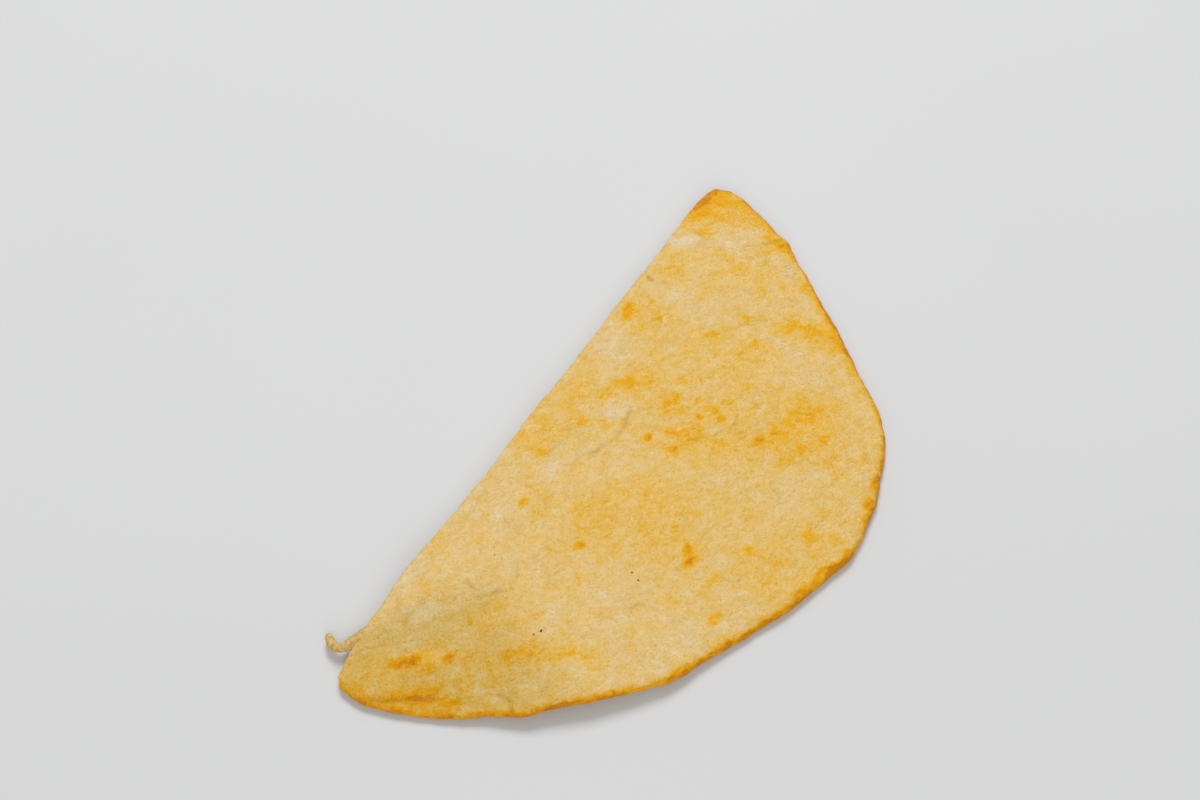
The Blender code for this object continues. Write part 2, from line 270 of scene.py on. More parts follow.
@dataclass(frozen=True)
class PlanOutline:
    """The plan outline of the half bread, counter-clockwise from its right tip."""

    right_tip: Table = ((114.4, -5.5), (112.6, -2.8), (109.0, -1.2), (103.5, -0.3))
    cut_right_end: float = 95.0
    cut_left_end: float = -101.0
    cut_point_spacing: float = 18.0
    left_tip: Table = (
        (-107.0, 0.1), (-114.0, -0.5), (-120.5, -1.8), (-125.0, -2.8), (-127.4, -5.2), (-128.1, -10.5),
    )
    crust: Table = (
        (-126.4, -20.5), (-122.9, -30.3), (-117.9, -40.3), (-111.9, -50.9), (-106.6, -59.4), (-99.4, -66.6),
        (-87.4, -79.5), (-79.4, -86.6), (-71.1, -92.5), (-60.6, -96.7), (-48.6, -102.1), (-38.5, -106.5),
        (-28.5, -110.5), (-18.5, -113.5), (-4.5, -117.5), (9.5, -116.7), (21.7, -114.6), (32.8, -110.9),
        (42.4, -107.4), (50.5, -102.3), (58.4, -94.6), (65.4, -85.6), (71.9, -77.6), (80.2, -68),
        (88, -57.8), (95.2, -49.2), (101, -40.5), (105, -35.5), (106, -32), (109, -26.5), (111.5, -18.5),
        (113.8, -11),
    )
    curve_steps: int = 24
    # Height and length of the slow wobble and of the fine raggedness of dough
    crust_wobble: Pair = (0.35, 11.0)
    fine_crust: Pair = (0.16, 3.6)
    cut_wobble: Pair = (0.45, 22.0)
    fine_cut: Pair = (0.13, 2.6)
    # How squarely the side faces the cut's way, from where the baked rim ends to where the cut is full
    cut_facing: Pair = (0.55, 0.9)
    normal_reach: float = 4.0

    def traced(self, step: float) -> Edge:
        """Traces the outline.

        Args:
            step: spacing of the points along it.

        Returns:
            The traced edge, with its slow wobble and the fine raggedness of dough on it.
        """
        count = round((self.cut_right_end - self.cut_left_end) / self.cut_point_spacing)
        cut = [(x, 0.0) for x in np.linspace(self.cut_right_end, self.cut_left_end, count)]
        corners = [*self.right_tip, *cut, *self.left_tip, *self.crust]
        loop = self._evenly(smooth_curve(corners, self.curve_steps, True), step)
        reach = max(1, round(self.normal_reach / step))
        normals = self._outward(loop, reach)
        cut_share = ease(normals[:, 1], *self.cut_facing)
        crust_wobble, cut_wobble = (
            slow[0] * ripple(loop, slow[1], slow_layer) + fine[0] * ripple(loop, fine[1], fine_layer)
            for slow, slow_layer, fine, fine_layer in (
                (self.crust_wobble, Layer.CRUST, self.fine_crust, Layer.FINE_CRUST),
                (self.cut_wobble, Layer.CUT, self.fine_cut, Layer.FINE_CUT),
            )
        )
        wobble = crust_wobble * (1.0 - cut_share) + cut_wobble * cut_share
        loop = loop + normals * wobble[:, None]
        is_crust = cut_share < 0.5
        first = int(np.flatnonzero(is_crust & ~np.roll(is_crust, 1))[0])
        crust = np.roll(loop, -first, axis=0)[: is_crust.sum()]
        return Edge(loop, self._outward(loop, reach), cut_share, crust)

    @staticmethod
    def _evenly(loop: Plan, step: float) -> Plan:
        """Spaces a closed loop's points evenly.

        Args:
            loop: the loop's points.
            step: how far apart the new points lie along it.

        Returns:
            The new points.
        """
        closed = np.vstack([loop, loop[:1]])
        run = np.concatenate([[0.0], np.cumsum(np.linalg.norm(np.diff(closed, axis=0), axis=1))])
        at = np.linspace(0.0, run[-1], round(run[-1] / step), endpoint=False)
        return np.stack([np.interp(at, run, closed[:, axis]) for axis in range(2)], axis=1)

    @staticmethod
    def _outward(loop: Plan, reach: int) -> Plan:
        """Finds the outward direction at each point of a loop.

        Args:
            loop: the loop's points, counter-clockwise.
            reach: how many points on each side a direction is taken across.

        Returns:
            The directions, of length one.
        """
        along = np.roll(loop, -reach, axis=0) - np.roll(loop, reach, axis=0)
        along /= np.linalg.norm(along, axis=1)[:, None]
        return np.stack([along[:, 1], -along[:, 0]], axis=1)


@dataclass(frozen=True)
class Patch:
    """An oval patch of the sheet: plan place, half sizes, how much it adds, and its turn in degrees."""

    x: float
    y: float
    half_length: float
    half_width: float
    gain: float
    turn: float = 0.0

    def share(self, plan: Plan, fall: float) -> Row:
        """How far each plan place belongs to the patch.

        Args:
            plan: plan places.
            fall: how steeply the patch fades beyond its half sizes.

        Returns:
            A share from 0 to 1 at each place.
        """
        cos_turn, sin_turn = math.cos(math.radians(self.turn)), math.sin(math.radians(self.turn))
        across = plan - (self.x, self.y)
        u = (across[:, 0] * cos_turn + across[:, 1] * sin_turn) / self.half_length
        v = (across[:, 1] * cos_turn - across[:, 0] * sin_turn) / self.half_width
        return np.exp(-fall * (u * u + v * v))


@dataclass(frozen=True)
class Line:
    """A crease, fold or wrinkle: half width, rise (below zero for a crease), lip beside it, plan path."""

    half_width: float
    rise: float
    lip: float
    path: Table

    def profile(self, plan: Plan) -> tuple[Row, Row]:
        """The line's height and its share at each plan place.

        Args:
            plan: plan places.

        Returns:
            The height that the line adds, and how far each place belongs to it.
        """
        lip_place, lip_fall, path_steps = 1.6, 2.0, 6
        gap = distance_to(plan, smooth_curve(self.path, path_steps, False)) / self.half_width
        share = np.exp(-gap * gap)
        return self.rise * share + self.lip * np.exp(-lip_fall * (gap - lip_place) ** 2), share

    def pinched(self) -> tuple["Line", "Line"]:
        """Splits the line as a crease really runs.

        Returns:
            A fine fold, and the broad shallow trough at whose bottom it lies.
        """
        fine_width, fine_share, broad_width, broad_share = 0.3, 0.6, 1.5, 0.45
        fine = Line(fine_width * self.half_width, fine_share * self.rise, fine_share * self.lip, self.path)
        return fine, Line(broad_width * self.half_width, broad_share * self.rise, 0.0, self.path)


def patches(*rows: tuple[float, ...]) -> tuple[Patch, ...]:
    """Makes patches from rows of place, half sizes, gain and, for a turned one, turn."""
    return tuple(Patch(*row) for row in rows)


def lines(*rows: tuple) -> tuple[Line, ...]:
    """Makes lines from rows of half width, rise, lip and the places of the path."""
    return tuple(Line(*row[:3], row[3:]) for row in rows)


@dataclass(frozen=True)
class DoughForm:
    """Height of the bread over its plan: the same swells, creases, folds and bends as the solid."""

    body_thickness: float = 5.6
    rim_thickness: float = 3.5
    rim_to_body: float = 13.0
    left_tip_thinning: float = 1.1
    left_tip: Pair = (-78.0, -122.0)
    swells: tuple[Patch, ...] = patches(
        (30, -80, 25, 21, 1.9, 20), (-18, -50, 40, 25, 0.9, 15), (66, -30, 24, 17, 0.8, -35),
        (-60, -52, 22, 17, 0.5, 25), (-10, -98, 26, 10, 0.5, 5), (-42, -86, 17, 9, 0.45, 25),
        (-52, -13, 26, 9, 0.55), (8, -12, 15, 9, 0.5), (100, -14, 9, 14, 0.5), (-62, -73, 8.5, 7, 0.7),
        (-62, -73, 5, 4.2, -1.3), (31, -16, 11, 5, -0.8, -42), (-83, -31, 7, 4.5, -0.9, 10),
        (-72, -24.5, 9, 4, 0.6, -10), (56, -60, 10, 14, -0.6, -35), (-4, -70, 9, 16, -0.45, 10),
    )
    swell_fall: float = 1.4
    creases: tuple[Line, ...] = lines(
        (2.4, -0.45, 0.16, (-22, -20.5), (-14.6, -24.7), (-6, -28.4), (3.3, -29.2), (8.6, -28.2)),
        (1.9, -0.45, 0.16, (9.5, -50.8), (12.3, -55), (16.7, -58.3), (21.6, -59.5), (26, -58.8)),
        (3.4, -0.8, 0, (30, -58.5), (42, -66), (51, -79), (51, -92)),
        (2.2, -0.8, 0.1, (-126, -15.5), (-121.5, -23), (-118, -28.5), (-114.5, -33.6)),
        (2.2, -0.9, 0.2, (-110.5, -57), (-105.5, -54), (-104.5, -49)),
        (3, -0.4, 0.2, (-79, -24.5), (-77, -28.5), (-70, -30.5), (-61, -29.5)),
        (2.2, -0.7, 0.1, (62.5, -3.5), (63.5, -9.5)),
        (2.4, -0.6, 0.2, (103, -35), (97, -29.5), (93, -24)),
        (3.8, -0.45, 0.07, (78.5, -0.5), (83, -8), (86, -16.5), (87.4, -25.8), (88.5, -35.2), (88.5, -44)),
    )
    folds: tuple[Line, ...] = lines(
        (3.2, 0.8, 0, (-105.5, -0.6), (-98.8, -5.9), (-89.3, -10.9), (-83, -20), (-79.5, -26.5)),
        (2.8, 0.75, 0, (81.8, -0.8), (86.5, -7.5), (90.5, -16), (92, -26), (92.5, -42)),
    )
    wrinkles: tuple[Line, ...] = lines(
        (0.9, -0.22, 0.1, (-50.4, -16.5), (-51, -19), (-52.4, -21.8)),
        (0.9, -0.24, 0.12, (-61.5, -29), (-66.5, -31), (-69.5, -31.6)),
        (1, -0.28, 0.14, (-80.5, -26.4), (-77, -28.2), (-73.5, -30.4)),
        (0.9, -0.22, 0.1, (-76.2, -19.5), (-77.2, -23), (-74.2, -26.2)),
        (0.9, -0.16, 0.08, (-59.5, -38.3), (-63.5, -42.2)),
        (0.9, -0.2, 0.08, (-32.5, -19), (-35.5, -22.5), (-39, -24.6)),
        (1, -0.22, 0.12, (27.5, -17), (31, -19.5), (35.5, -21.4)),
        (0.9, -0.2, 0.12, (92.8, -1.8), (90.4, -5.5), (88.8, -10.5)),
        (0.9, -0.24, 0.1, (64.4, -0.2), (62.6, -4), (61, -8.4)),
        (0.8, -0.16, 0.1, (6.2, -83.2), (5.2, -85.2), (4, -88.4)),
        (0.9, -0.2, 0.1, (-33, -86), (-32.2, -90), (-29.6, -92.3)),
        (0.9, -0.22, 0.12, (-60.4, -70), (-57, -69.2), (-54, -71.4), (-53.4, -74.4)),
        (0.8, -0.2, 0.1, (-116, -37), (-113, -40.5), (-111.5, -45)),
        (0.8, -0.18, 0.1, (-20, -12.5), (-13.5, -15.5), (-8, -15)),
        (0.8, -0.16, 0.08, (66, -46), (61, -43), (57.5, -38)),
        (0.8, -0.18, 0.08, (12, -66), (17.5, -64.5), (23, -66)),
        (0.9, -0.15, 0.09, (32.5, -63), (35, -66), (36.8, -69.5)),
    )
    # The low bend at the left end: its middle, how it leans, how far it reaches and how high it lifts
    bend_centre: Pair = (-90.0, -40.0)
    bend_lean: float = 0.12
    bend_reach: float = 34.0
    bend_lift: float = 2.3
    tip_lift: float = 1.5
    right_tip: Pair = (90.0, 116.0)
    edge_curl: float = 0.9
    edge_curl_reach: float = 16.0
    edge_curl_length: float = 46.0
    # Height and length of the dough's own swells and lumps
    unevenness: Table = ((0.35, 24.0), (0.24, 10.0))
    lumps: Pair = (0.16, 5.2)
    blister_rise: float = 0.55
    # A crease this wide has no fine fold to paint shade in; one at least as deep as the next has all the
    # shade
    broad_crease: float = 3.0
    full_crease_shade: float = 0.35
    # How far and how quickly a fine line wavers from its path
    waver: Pair = (0.7, 5.0)
    # How a fine line comes and goes: its mean share, swing and length, and its least and most share
    line_share: tuple[float, float, float] = (0.72, 0.5, 4.5)
    line_limits: Pair = (0.15, 1.1)

    def lift(self, plan: Plan, crust_gap: Row) -> Row:
        """Height of the underside above the surface that the bread rests on.

        Args:
            plan: plan places.
            crust_gap: each place's distance to the baked edge.

        Returns:
            The heights.
        """
        off_centre = plan - self.bend_centre
        from_bend = (off_centre[:, 0] - self.bend_lean * off_centre[:, 1]) / self.bend_reach
        bend = self.bend_lift * np.clip(1.0 - from_bend**2, 0.0, None) ** 2
        tip = self.tip_lift * ease(plan[:, 0], *self.right_tip)
        curl_share = np.clip(1.0 - crust_gap / self.edge_curl_reach, 0.0, None) ** 2
        curl_noise = np.clip(ripple(plan, self.edge_curl_length, Layer.CURL), 0.0, None)
        return bend + tip + self.edge_curl * curl_share * curl_noise

    def thickness(self, plan: Plan, crust_gap: Row, blisters: tuple[Patch, ...]) -> Row:
        """Thickness of the bread before its edges are rounded.

        Args:
            plan: plan places.
            crust_gap: each place's distance to the baked edge.
            blisters: toasted spots, which stand a little proud.

        Returns:
            The thickness at each place.
        """
        rim_share = np.exp(-crust_gap / self.rim_to_body)
        body = self.body_thickness - (self.body_thickness - self.rim_thickness) * rim_share
        body = body - self.left_tip_thinning * ease(plan[:, 0], *self.left_tip)
        for number, (height, wavelength) in enumerate(self.unevenness):
            body = body + height * ripple(plan, wavelength, Layer.DOUGH, number)
        body = body + self.lumps[0] * ripple(plan, self.lumps[1], Layer.LUMPS)
        for swell in self.swells:
            body += swell.gain * swell.share(plan, self.swell_fall)
        wavy, breaks = self._wavy(plan), self._broken(plan)
        for crease in self.creases:
            fine, broad = crease.pinched()
            body += fine.profile(wavy)[0] * breaks + broad.profile(plan)[0]
        for fold in self.folds:
            body += fold.profile(plan)[0]
        for wrinkle in self.wrinkles:
            body += wrinkle.profile(wavy)[0] * breaks
        for blister in blisters:
            body += self.blister_rise * blister.gain * blister.share(plan, self.swell_fall)
        return body

    def crease_shade_share(self, plan: Plan) -> Row:
        """How far each plan place lies in a fine crease or wrinkle, where the finish paints shade.

        Args:
            plan: plan places.

        Returns:
            A share from 0 to 1 at each place.
        """
        fine = [crease.pinched()[0] for crease in self.creases if crease.half_width < self.broad_crease]
        wavy = self._wavy(plan)
        fine += self.wrinkles
        depth = sum(line.profile(wavy)[1] ** 2 * min(1.0, -line.rise / self.full_crease_shade) for line in fine)
        return np.clip(depth * self._broken(plan), 0.0, 1.0)

    def _wavy(self, plan: Plan) -> Plan:
        """Bends the plan a little, so that a line read on it wavers as a real crease does.

        Args:
            plan: plan places.

        Returns:
            The places moved.
        """
        reach, length = self.waver
        bends = [ripple(plan, length, layer) for layer in (Layer.LINE_X, Layer.LINE_Y)]
        return plan + reach * np.column_stack(bends)

    def _broken(self, plan: Plan) -> Row:
        """How much of a fine line shows at each plan place, so that it comes and goes along its run."""
        mean, swing, length = self.line_share
        return np.clip(mean + swing * ripple(plan, length, Layer.BREAKS), *self.line_limits)


@dataclass(frozen=True)
class BakeMap:
    """How browned each place of the skin is, as the share of blue light that its colour lacks."""

    base: float = 0.45
    # Broad areas that are browner or paler than the rest, two pale ones being painted light on the folds
    areas: tuple[Patch, ...] = patches(
        (-33, -41, 12, 9, 0.07), (-30, -56, 13, 11, 0.09), (-10, -56, 8, 5, 0.05), (-14, -96, 13, 10, 0.06),
        (21, -22, 9, 7, 0.11, -20), (-13, -5, 11, 7, 0.12), (10, -8, 7, 5, 0.07),
        (8, -48, 10, 6, 0.06, -10), (2, -46, 3, 3, -0.08), (75, -56, 7, 3, 0.1, -30),
        (14, -44, 5, 4, -0.06), (44, -50, 13, 9, 0.07), (15, -60, 10, 5, 0.09, -10),
        (32, -80.5, 15, 11, 0.18, 10), (71, -62, 11, 5, 0.1, -58), (66, -3, 4, 3, -0.05),
        (-26, -9, 4, 4, -0.05), (83, -26, 5, 10, 0.03), (88, -25, 2.6, 15, 0.07), (85, -47, 4, 3, 0.08),
        (72, -8, 7, 4, 0.1), (49, -11, 9, 8, 0.09), (-28, -53.5, 4, 3, -0.07), (-52, -57, 4, 4, -0.07),
        (109, -10, 10, 11, 0.21), (96, -9, 6, 4, 0.09), (104, -32, 11, 5, 0.2, 60),
        (-124, -23, 18, 8, 0.15, -72), (-99, -35, 14, 12, 0.07), (-88.5, -49, 12, 5, 0.16, -48),
        (-81, -61.5, 10, 4, 0.13, -55), (-82, -31, 7, 4.5, 0.13, -70), (29, -36, 4, 6, 0.06),
        (-59, -54, 6, 7, 0.03), (-40, -16, 7, 5, 0.06), (65, -36, 10, 8, -0.05), (-78, -40, 12, 9, 0.02),
        (-109, -11, 8, 5, -0.07, -40), (-122, -38, 9, 5, 0.06, -60), (-28, -87, 7, 4, 0.06),
        # The pale rows at (-90, -17) and (85, -6) are painted light on the lit sides of the left and right
        # folds
        (-73, -74, 7, 3, -0.07), (-90, -17, 14, 5, -0.09, -50), (-50, -12, 9, 6, -0.07),
        (-45, -3, 10, 3, -0.05), (33, -8, 9, 8, -0.1), (85, -6, 8, 3, -0.2, -65),
        (60, -20, 14, 3.5, -0.07, 90), (99, -24, 7, 5, -0.13, -45), (5, -22, 4, 5, -0.14),
        (-72, -84, 8, 5, -0.06, 30), (45, -24, 5, 3, -0.08), (12, -88, 10, 4, -0.05, 80),
        (2, -88, 9, 3, -0.05, 85), (63, -56, 10, 3.5, -0.1, 85), (55, -72, 5, 4, -0.07),
        (78, -58, 4, 5, -0.1), (38, -90, 7, 3, 0.06, 10), (-59, -67, 6, 7, 0.05),
        (-92, -56, 8, 5, -0.03, -40), (-21, -19, 6, 4, -0.09, -20), (-38, -97, 5, 7, -0.08),
        (35, -50, 62, 60, 0.045), (-30, -33, 14, 14, 0.03), (-14, -62, 14, 9, 0.05), (3, -108, 9, 6, 0.08),
        (31, -62.5, 4, 2.5, 0.11), (-16, -11, 7, 3.5, 0.13), (5, -6, 7, 5, 0.1),
        (12, -53, 12, 5, 0.06, -10), (15, -62, 5, 3, 0.06), (49, -32, 5, 5, 0.1), (46, -6, 5, 4, 0.07),
        (71, -8, 4, 4, 0.07), (81, -26, 8, 15, 0.06), (69, -68, 8, 6, 0.1, -20),
        (105, -3, 10, 4, 0.16, -10), (90.5, -8.5, 3, 4, 0.26), (-116, -29, 11, 3.6, 0.24, -62),
        (-109, -22, 7, 6, 0.1, -45), (-122.5, -25, 6, 2.6, -0.18, -65), (-115, -27, 3, 6, 0.09, -20),
        (-103, -24, 3, 3, 0.05), (-117, -9.5, 8, 5, 0.09), (-125, -12, 4, 3, 0.08), (-107, -13, 4, 3, 0.08),
        (-98, -14, 14, 6, -0.04, -40), (-103, -14, 6, 4, -0.06), (-60, -50, 16, 14, -0.04),
        (-58, -12, 22, 12, 0.03), (-55, -39, 5, 5, 0.1), (-68, -44, 8, 7, 0.06), (-5, -74, 7, 6, 0.07),
        (12, -98, 6, 5, 0.09), (24, -99, 5, 4, 0.07), (80, -69, 34, 3.6, 0.26, 51),
        (-91, -38, 8, 4.5, -0.09, -30), (26, -67, 5, 3, -0.08), (20, -38, 3, 3, 0.07),
        (-39, -27, 2.5, 3, 0.08), (-40, -39, 3, 7, 0.04), (37, -60, 5, 4, -0.11),
        (4, -66, 5, 6, -0.09, -20), (36, -71, 3, 5, -0.08, 20), (43, -71, 3, 5, 0.09, 20),
        (29, -83, 4, 4, -0.17), (84, -10, 3, 4, 0.09), (97, -25, 3, 4, 0.08), (-34, -72, 7, 4, -0.07),
        (-96, -45, 4, 4, -0.07), (-82, -30, 4, 3, 0.06), (-15, -86, 3, 3, 0.07), (-12, -89, 4, 5, -0.07),
        (-2, -97, 4, 4, 0.07), (43, -3, 5, 2.5, -0.09), (8.5, -26, 5, 2.5, -0.1),
        (-71, -27.5, 5, 2.5, -0.07), (23, -46.5, 3, 2.5, -0.1), (17.5, -56.5, 3, 2.5, -0.12),
        (42, -53.5, 3, 2.5, -0.09), (46, -64, 3, 2.5, -0.08), (92, -37, 6, 5, -0.1),
        (53, -43, 7, 3, -0.05, -25), (34, -33, 3, 5, -0.06), (18, -14.5, 4, 3, -0.09, -30),
        (63, -26, 3.5, 5, 0.06), (55, -55, 5, 4, 0.06), (-73, -14, 4, 4, -0.06), (20, -31, 5, 4, 0.06),
        (0, -50, 5, 5, 0.06),
    )
    # Toasted spots, each a brown core in a soft halo
    spots: tuple[Patch, ...] = patches(
        (-107.1, -19.6, 3.2, 2.3, 0.4, -45), (-110.4, -15.8, 3.8, 2.3, 0.36, -60),
        (-101.8, -28.1, 3.4, 2.3, 0.36, -60), (-107.6, -24.6, 1.1, 1, 0.34),
        (-116, -28.6, 6.5, 1.2, 0.62, -63), (-121.5, -19.5, 7.5, 0.8, 0.22, -55),
        (-113.8, -36.8, 2.4, 1.5, 0.2, -50), (-126, -20, 2.2, 1.6, 0.14, -80),
        (-127, -12, 6.5, 2, 0.04, -85), (-121.5, -34.5, 4, 1.5, 0.18, -65),
        (-90.5, -44.5, 5.5, 2.2, 0.16, -42), (-107, -57.5, 3.4, 1.8, 0.24, -50),
        (-80.2, -60.1, 2.2, 1.6, 0.08), (-40, -16.3, 3.2, 2.4, 0.18), (-51, -33.5, 1.6, 1.4, 0.12),
        (-45.2, -41.8, 2.8, 2.3, 0.4), (-39, -36.8, 2.2, 1.4, 0.11, 40), (-55.8, -47.9, 3.2, 2.6, 0.13),
        (-27.9, -71.6, 2.8, 2.3, 0.34, 20), (-31.6, -74.1, 2.8, 2.2, 0.31, -10),
        (-30, -73, 4.6, 3, 0.07, 35), (-45.3, -92, 3.2, 2.6, 0.28), (-17.6, -88.5, 2, 3.2, 0.18),
        (-18.5, -93.5, 1.6, 2, 0.08), (-23, -64.5, 3.2, 2.2, 0.1, 30), (-34, -84, 4.5, 1.8, 0.09, 10),
        (-17.5, -50, 2.2, 1.8, 0.09), (-19, -10.5, 3, 1.8, 0.14), (-2, -14.5, 1.9, 1.7, 0.15),
        (-24, -99.5, 6, 2.8, 0.09, 5), (-3.5, -104, 4.5, 5.2, 0.11, 20), (-2.5, -102.5, 1.2, 1.6, 0.09),
        (-7.5, -108.5, 4, 2.4, 0.11), (46.5, -4, 5, 2.2, 0.26, 25), (49, -15, 1.4, 1.9, 0.17),
        (15, -9, 1.6, 1.5, 0.11), (20, -2.5, 3.4, 2, 0.11), (1.2, -22.6, 3.8, 1.2, 0.15, -70),
        (19.5, -19.5, 5, 2.9, 0.15, -25), (10.5, -17, 4, 2.2, 0.16, -25), (22, -27, 3.6, 2, 0.07, -30),
        (3.6, -38, 2.2, 2.1, 0.32), (18.9, -36, 2.6, 1.9, 0.31), (22, -38, 2.6, 1.8, 0.2),
        (19.6, -42.2, 1.8, 3, 0.18), (33.6, -40.7, 1.2, 1.1, 0.22), (30.5, -34.5, 1.6, 2.4, 0.08),
        (10, -44.5, 4.6, 1.6, 0.24, -60), (4, -47.2, 2.2, 1.7, 0.23), (12, -47.5, 1.9, 1.4, 0.12),
        (3.5, -43, 1.4, 2.6, 0.09), (19.6, -48.6, 2.1, 1.7, 0.34), (25.8, -44.7, 1.8, 1.5, 0.18),
        (25.1, -50.6, 2.8, 2.2, 0.25, -50), (23, -55.2, 2.1, 2, 0.27), (15, -58.5, 2.2, 1.6, 0.12, -40),
        (13, -63, 1.8, 1.2, 0.08, -35), (32, -62, 5, 1.4, 0.08, 20), (21.4, -70, 3.3, 2.3, 0.35, -15),
        (35.7, -74.2, 3.4, 2.6, 0.17, 5), (36.4, -80, 4.6, 2.2, 0.13, -35), (27.5, -75, 2.4, 4.4, 0.13, 10),
        (26, -84.4, 4.6, 2.2, 0.17, -20), (33, -88.5, 3, 1.6, 0.14), (44, -81, 3.2, 1.6, 0.09, -35),
        (39, -55, 2.4, 2.2, 0.1), (57, -50, 2, 3.6, 0.11, 10), (52, -34, 2.4, 4, 0.18, 15),
        (43, -29, 2.2, 2, 0.13), (65, -41.5, 1.8, 2.6, 0.19, -10), (70.5, -55.2, 4, 2.2, 0.14, -20),
        (73, -62, 2.6, 4, 0.14, 20), (75.5, -67.5, 2.6, 3.2, 0.12), (96, -32, 2.4, 2, 0.1),
        (101.5, -35, 2.2, 3.4, 0.24, -15), (103, -29, 2, 1.5, 0.14), (98, -3.2, 4, 1.5, 0.16, -20),
        (102, -9, 5, 2.2, 0.06, -65), (108, -5, 5, 3, 0.07, -60), (109.5, -18, 2, 4, 0.1, 10),
        (107, -24, 2, 4, 0.1, 15), (80, -7, 3, 2, 0.06), (54, -9, 1.6, 1.2, 0.1), (44, -12, 1.4, 1.2, 0.1),
        (-5, -39, 2, 1.4, 0.05), (64, -85, 2.2, 4.4, 0.06, -40), (90, -51, 2, 2.6, 0.14, -40),
    )
    # Browner stretches of the rim, which are moved onto the edge and turned along it
    rim_toasts: tuple[Patch, ...] = patches(
        (-85, -80, 8.5, 1.3, 0.18), (-69, -93, 6, 2.1, 0.27), (-61, -97, 4, 1.2, 0.06),
        (-51, -100.5, 3.6, 1.4, 0.24), (-40, -107, 8.5, 1.3, 0.24), (-25, -112, 8.5, 1.8, 0.29),
        (-13, -115.5, 6, 2.4, 0.34), (-4, -118, 4.5, 1.9, 0.3), (13, -116.5, 2.8, 2.2, 0.3),
        (18.5, -115.5, 3, 2.8, 0.4), (26.5, -113, 4.8, 2, 0.3), (35, -110, 4.5, 1.3, 0.17),
        (44, -106, 2.6, 1.6, 0.26), (61, -91, 5, 1.4, 0.14), (71, -78, 4.8, 2.2, 0.34),
        (78, -68, 3.6, 1.6, 0.18), (87, -59, 6, 1.6, 0.15), (95, -49, 4, 1.4, 0.17),
        (101, -41, 4.4, 1.9, 0.24), (107, -29, 4, 1.7, 0.2), (113.5, -5, 3.6, 1.8, 0.24),
        (104, -0.3, 9, 3, 0.48), (113, -16, 7, 1.8, 0.26), (-130, -14, 5, 1.9, 0.18),
        (-126, -24, 4.4, 2, 0.2), (-119, -38, 4.6, 1.5, 0.2), (-112.5, -49, 4.6, 1.3, 0.14),
        (-107.5, -57, 3.6, 1.6, 0.24), (-100, -68, 4.6, 1.2, 0.2), (-90, -78, 5, 1.3, 0.22),
    )
    # Raw flour that stayed in grains, past the left fold
    floured: Patch = Patch(-110.0, -37.0, 17.0, 8.0, -0.17, -58.0)
    flour_grain: float = 2.7
    # The left fold, past which painted shade dulls the skin: its run, by y and x, and the width of the
    # change
    fold_run: Table = (
        (-70.0, -40.0, -27.0, -20.0, -11.0, -6.0, 0.0), (-91.0, -78.5, -73.0, -77.5, -86.0, -97.0, -105.0),
    )
    fold_change: Pair = (-8.0, 16.0)
    # The place beyond the fold that the painted shade spares, golden round its toasted spots
    golden: Patch = Patch(-106.4, -21.6, 9.0, 3.0, 0.9, -55.0)
    # How far and how quickly the borders of areas and spots waver
    warps: tuple = (
        (1.5, 10.0, Layer.WARP_X, Layer.WARP_Y), (0.7, 3.4, Layer.FINE_WARP_X, Layer.FINE_WARP_Y),
    )
    # How far the skin's height shifts a place that is seen at the picture's angle
    raised_by: Pair = (1.2, 0.75)
    area_fall: float = 1.15
    spot_gain: float = 1.42
    halo: float = 0.24
    halo_fall: float = 0.5
    # How many half sizes out the core of a spot or a rim toast ends, and where it is full
    core: Pair = (1.03, 0.35)
    rim_core: Pair = (1.1, 0.65)
    # Mean strength, swing and length of the grains that brown gathers in
    crumbled: tuple[float, float, float] = (0.95, 0.5, 1.6)
    # The baked rim: mean gain of its band, swing and length, least and most
    rim_gain: float = 0.27
    rim_vary: Pair = (0.14, 17.0)
    rim_limits: Pair = (0.04, 0.4)
    # Width of the band, how ragged its inner border is, slowly and finely, and how far that can go
    rim_width: float = 1.15
    rim_ragged: Table = ((0.75, 12.0), (0.3, 1.9))
    ragged_limits: Pair = (0.12, 2.2)
    rim_border: Pair = (1.25, 0.6)
    # Gain and depth of the rim's soft fade and of its very edge
    rim_fades: Table = ((0.03, 4.0), (0.13, 0.8))
    # The left tip, where the rim is a little less browned
    left_rim: Pair = (-124.0, -112.0)
    left_rim_share: float = 0.9
    # Browning goes past the first number by the second at the most
    toasted: Pair = (0.86, 0.18)
    swing: Pair = (0.034, 12.0)
    fine_swing: Pair = (0.036, 4.6)
    # A spot at least this brown and shorter than this stands proud as a blister
    blister_least: float = 0.12
    blister_longest: float = 6.0
    # The underside's toasted patches and spots: size, where the noise starts and is full, gain
    under_patches: tuple[float, ...] = (17.0, 0.05, 0.7, 0.14)
    under_spots: tuple[float, ...] = (6.5, 0.3, 0.85, 0.30)
    under_bare: float = 0.35

    def blisters(self) -> tuple[Patch, ...]:
        """Picks out the spots that are small and brown enough to be raised blisters.

        Returns:
            The blisters, at their places on the raised skin.
        """
        dx, dy = self.raised_by
        return tuple(
            replace(spot, x=spot.x - dx, y=spot.y - dy) for spot in self.spots
            if spot.gain > self.blister_least and spot.half_length < self.blister_longest
        )

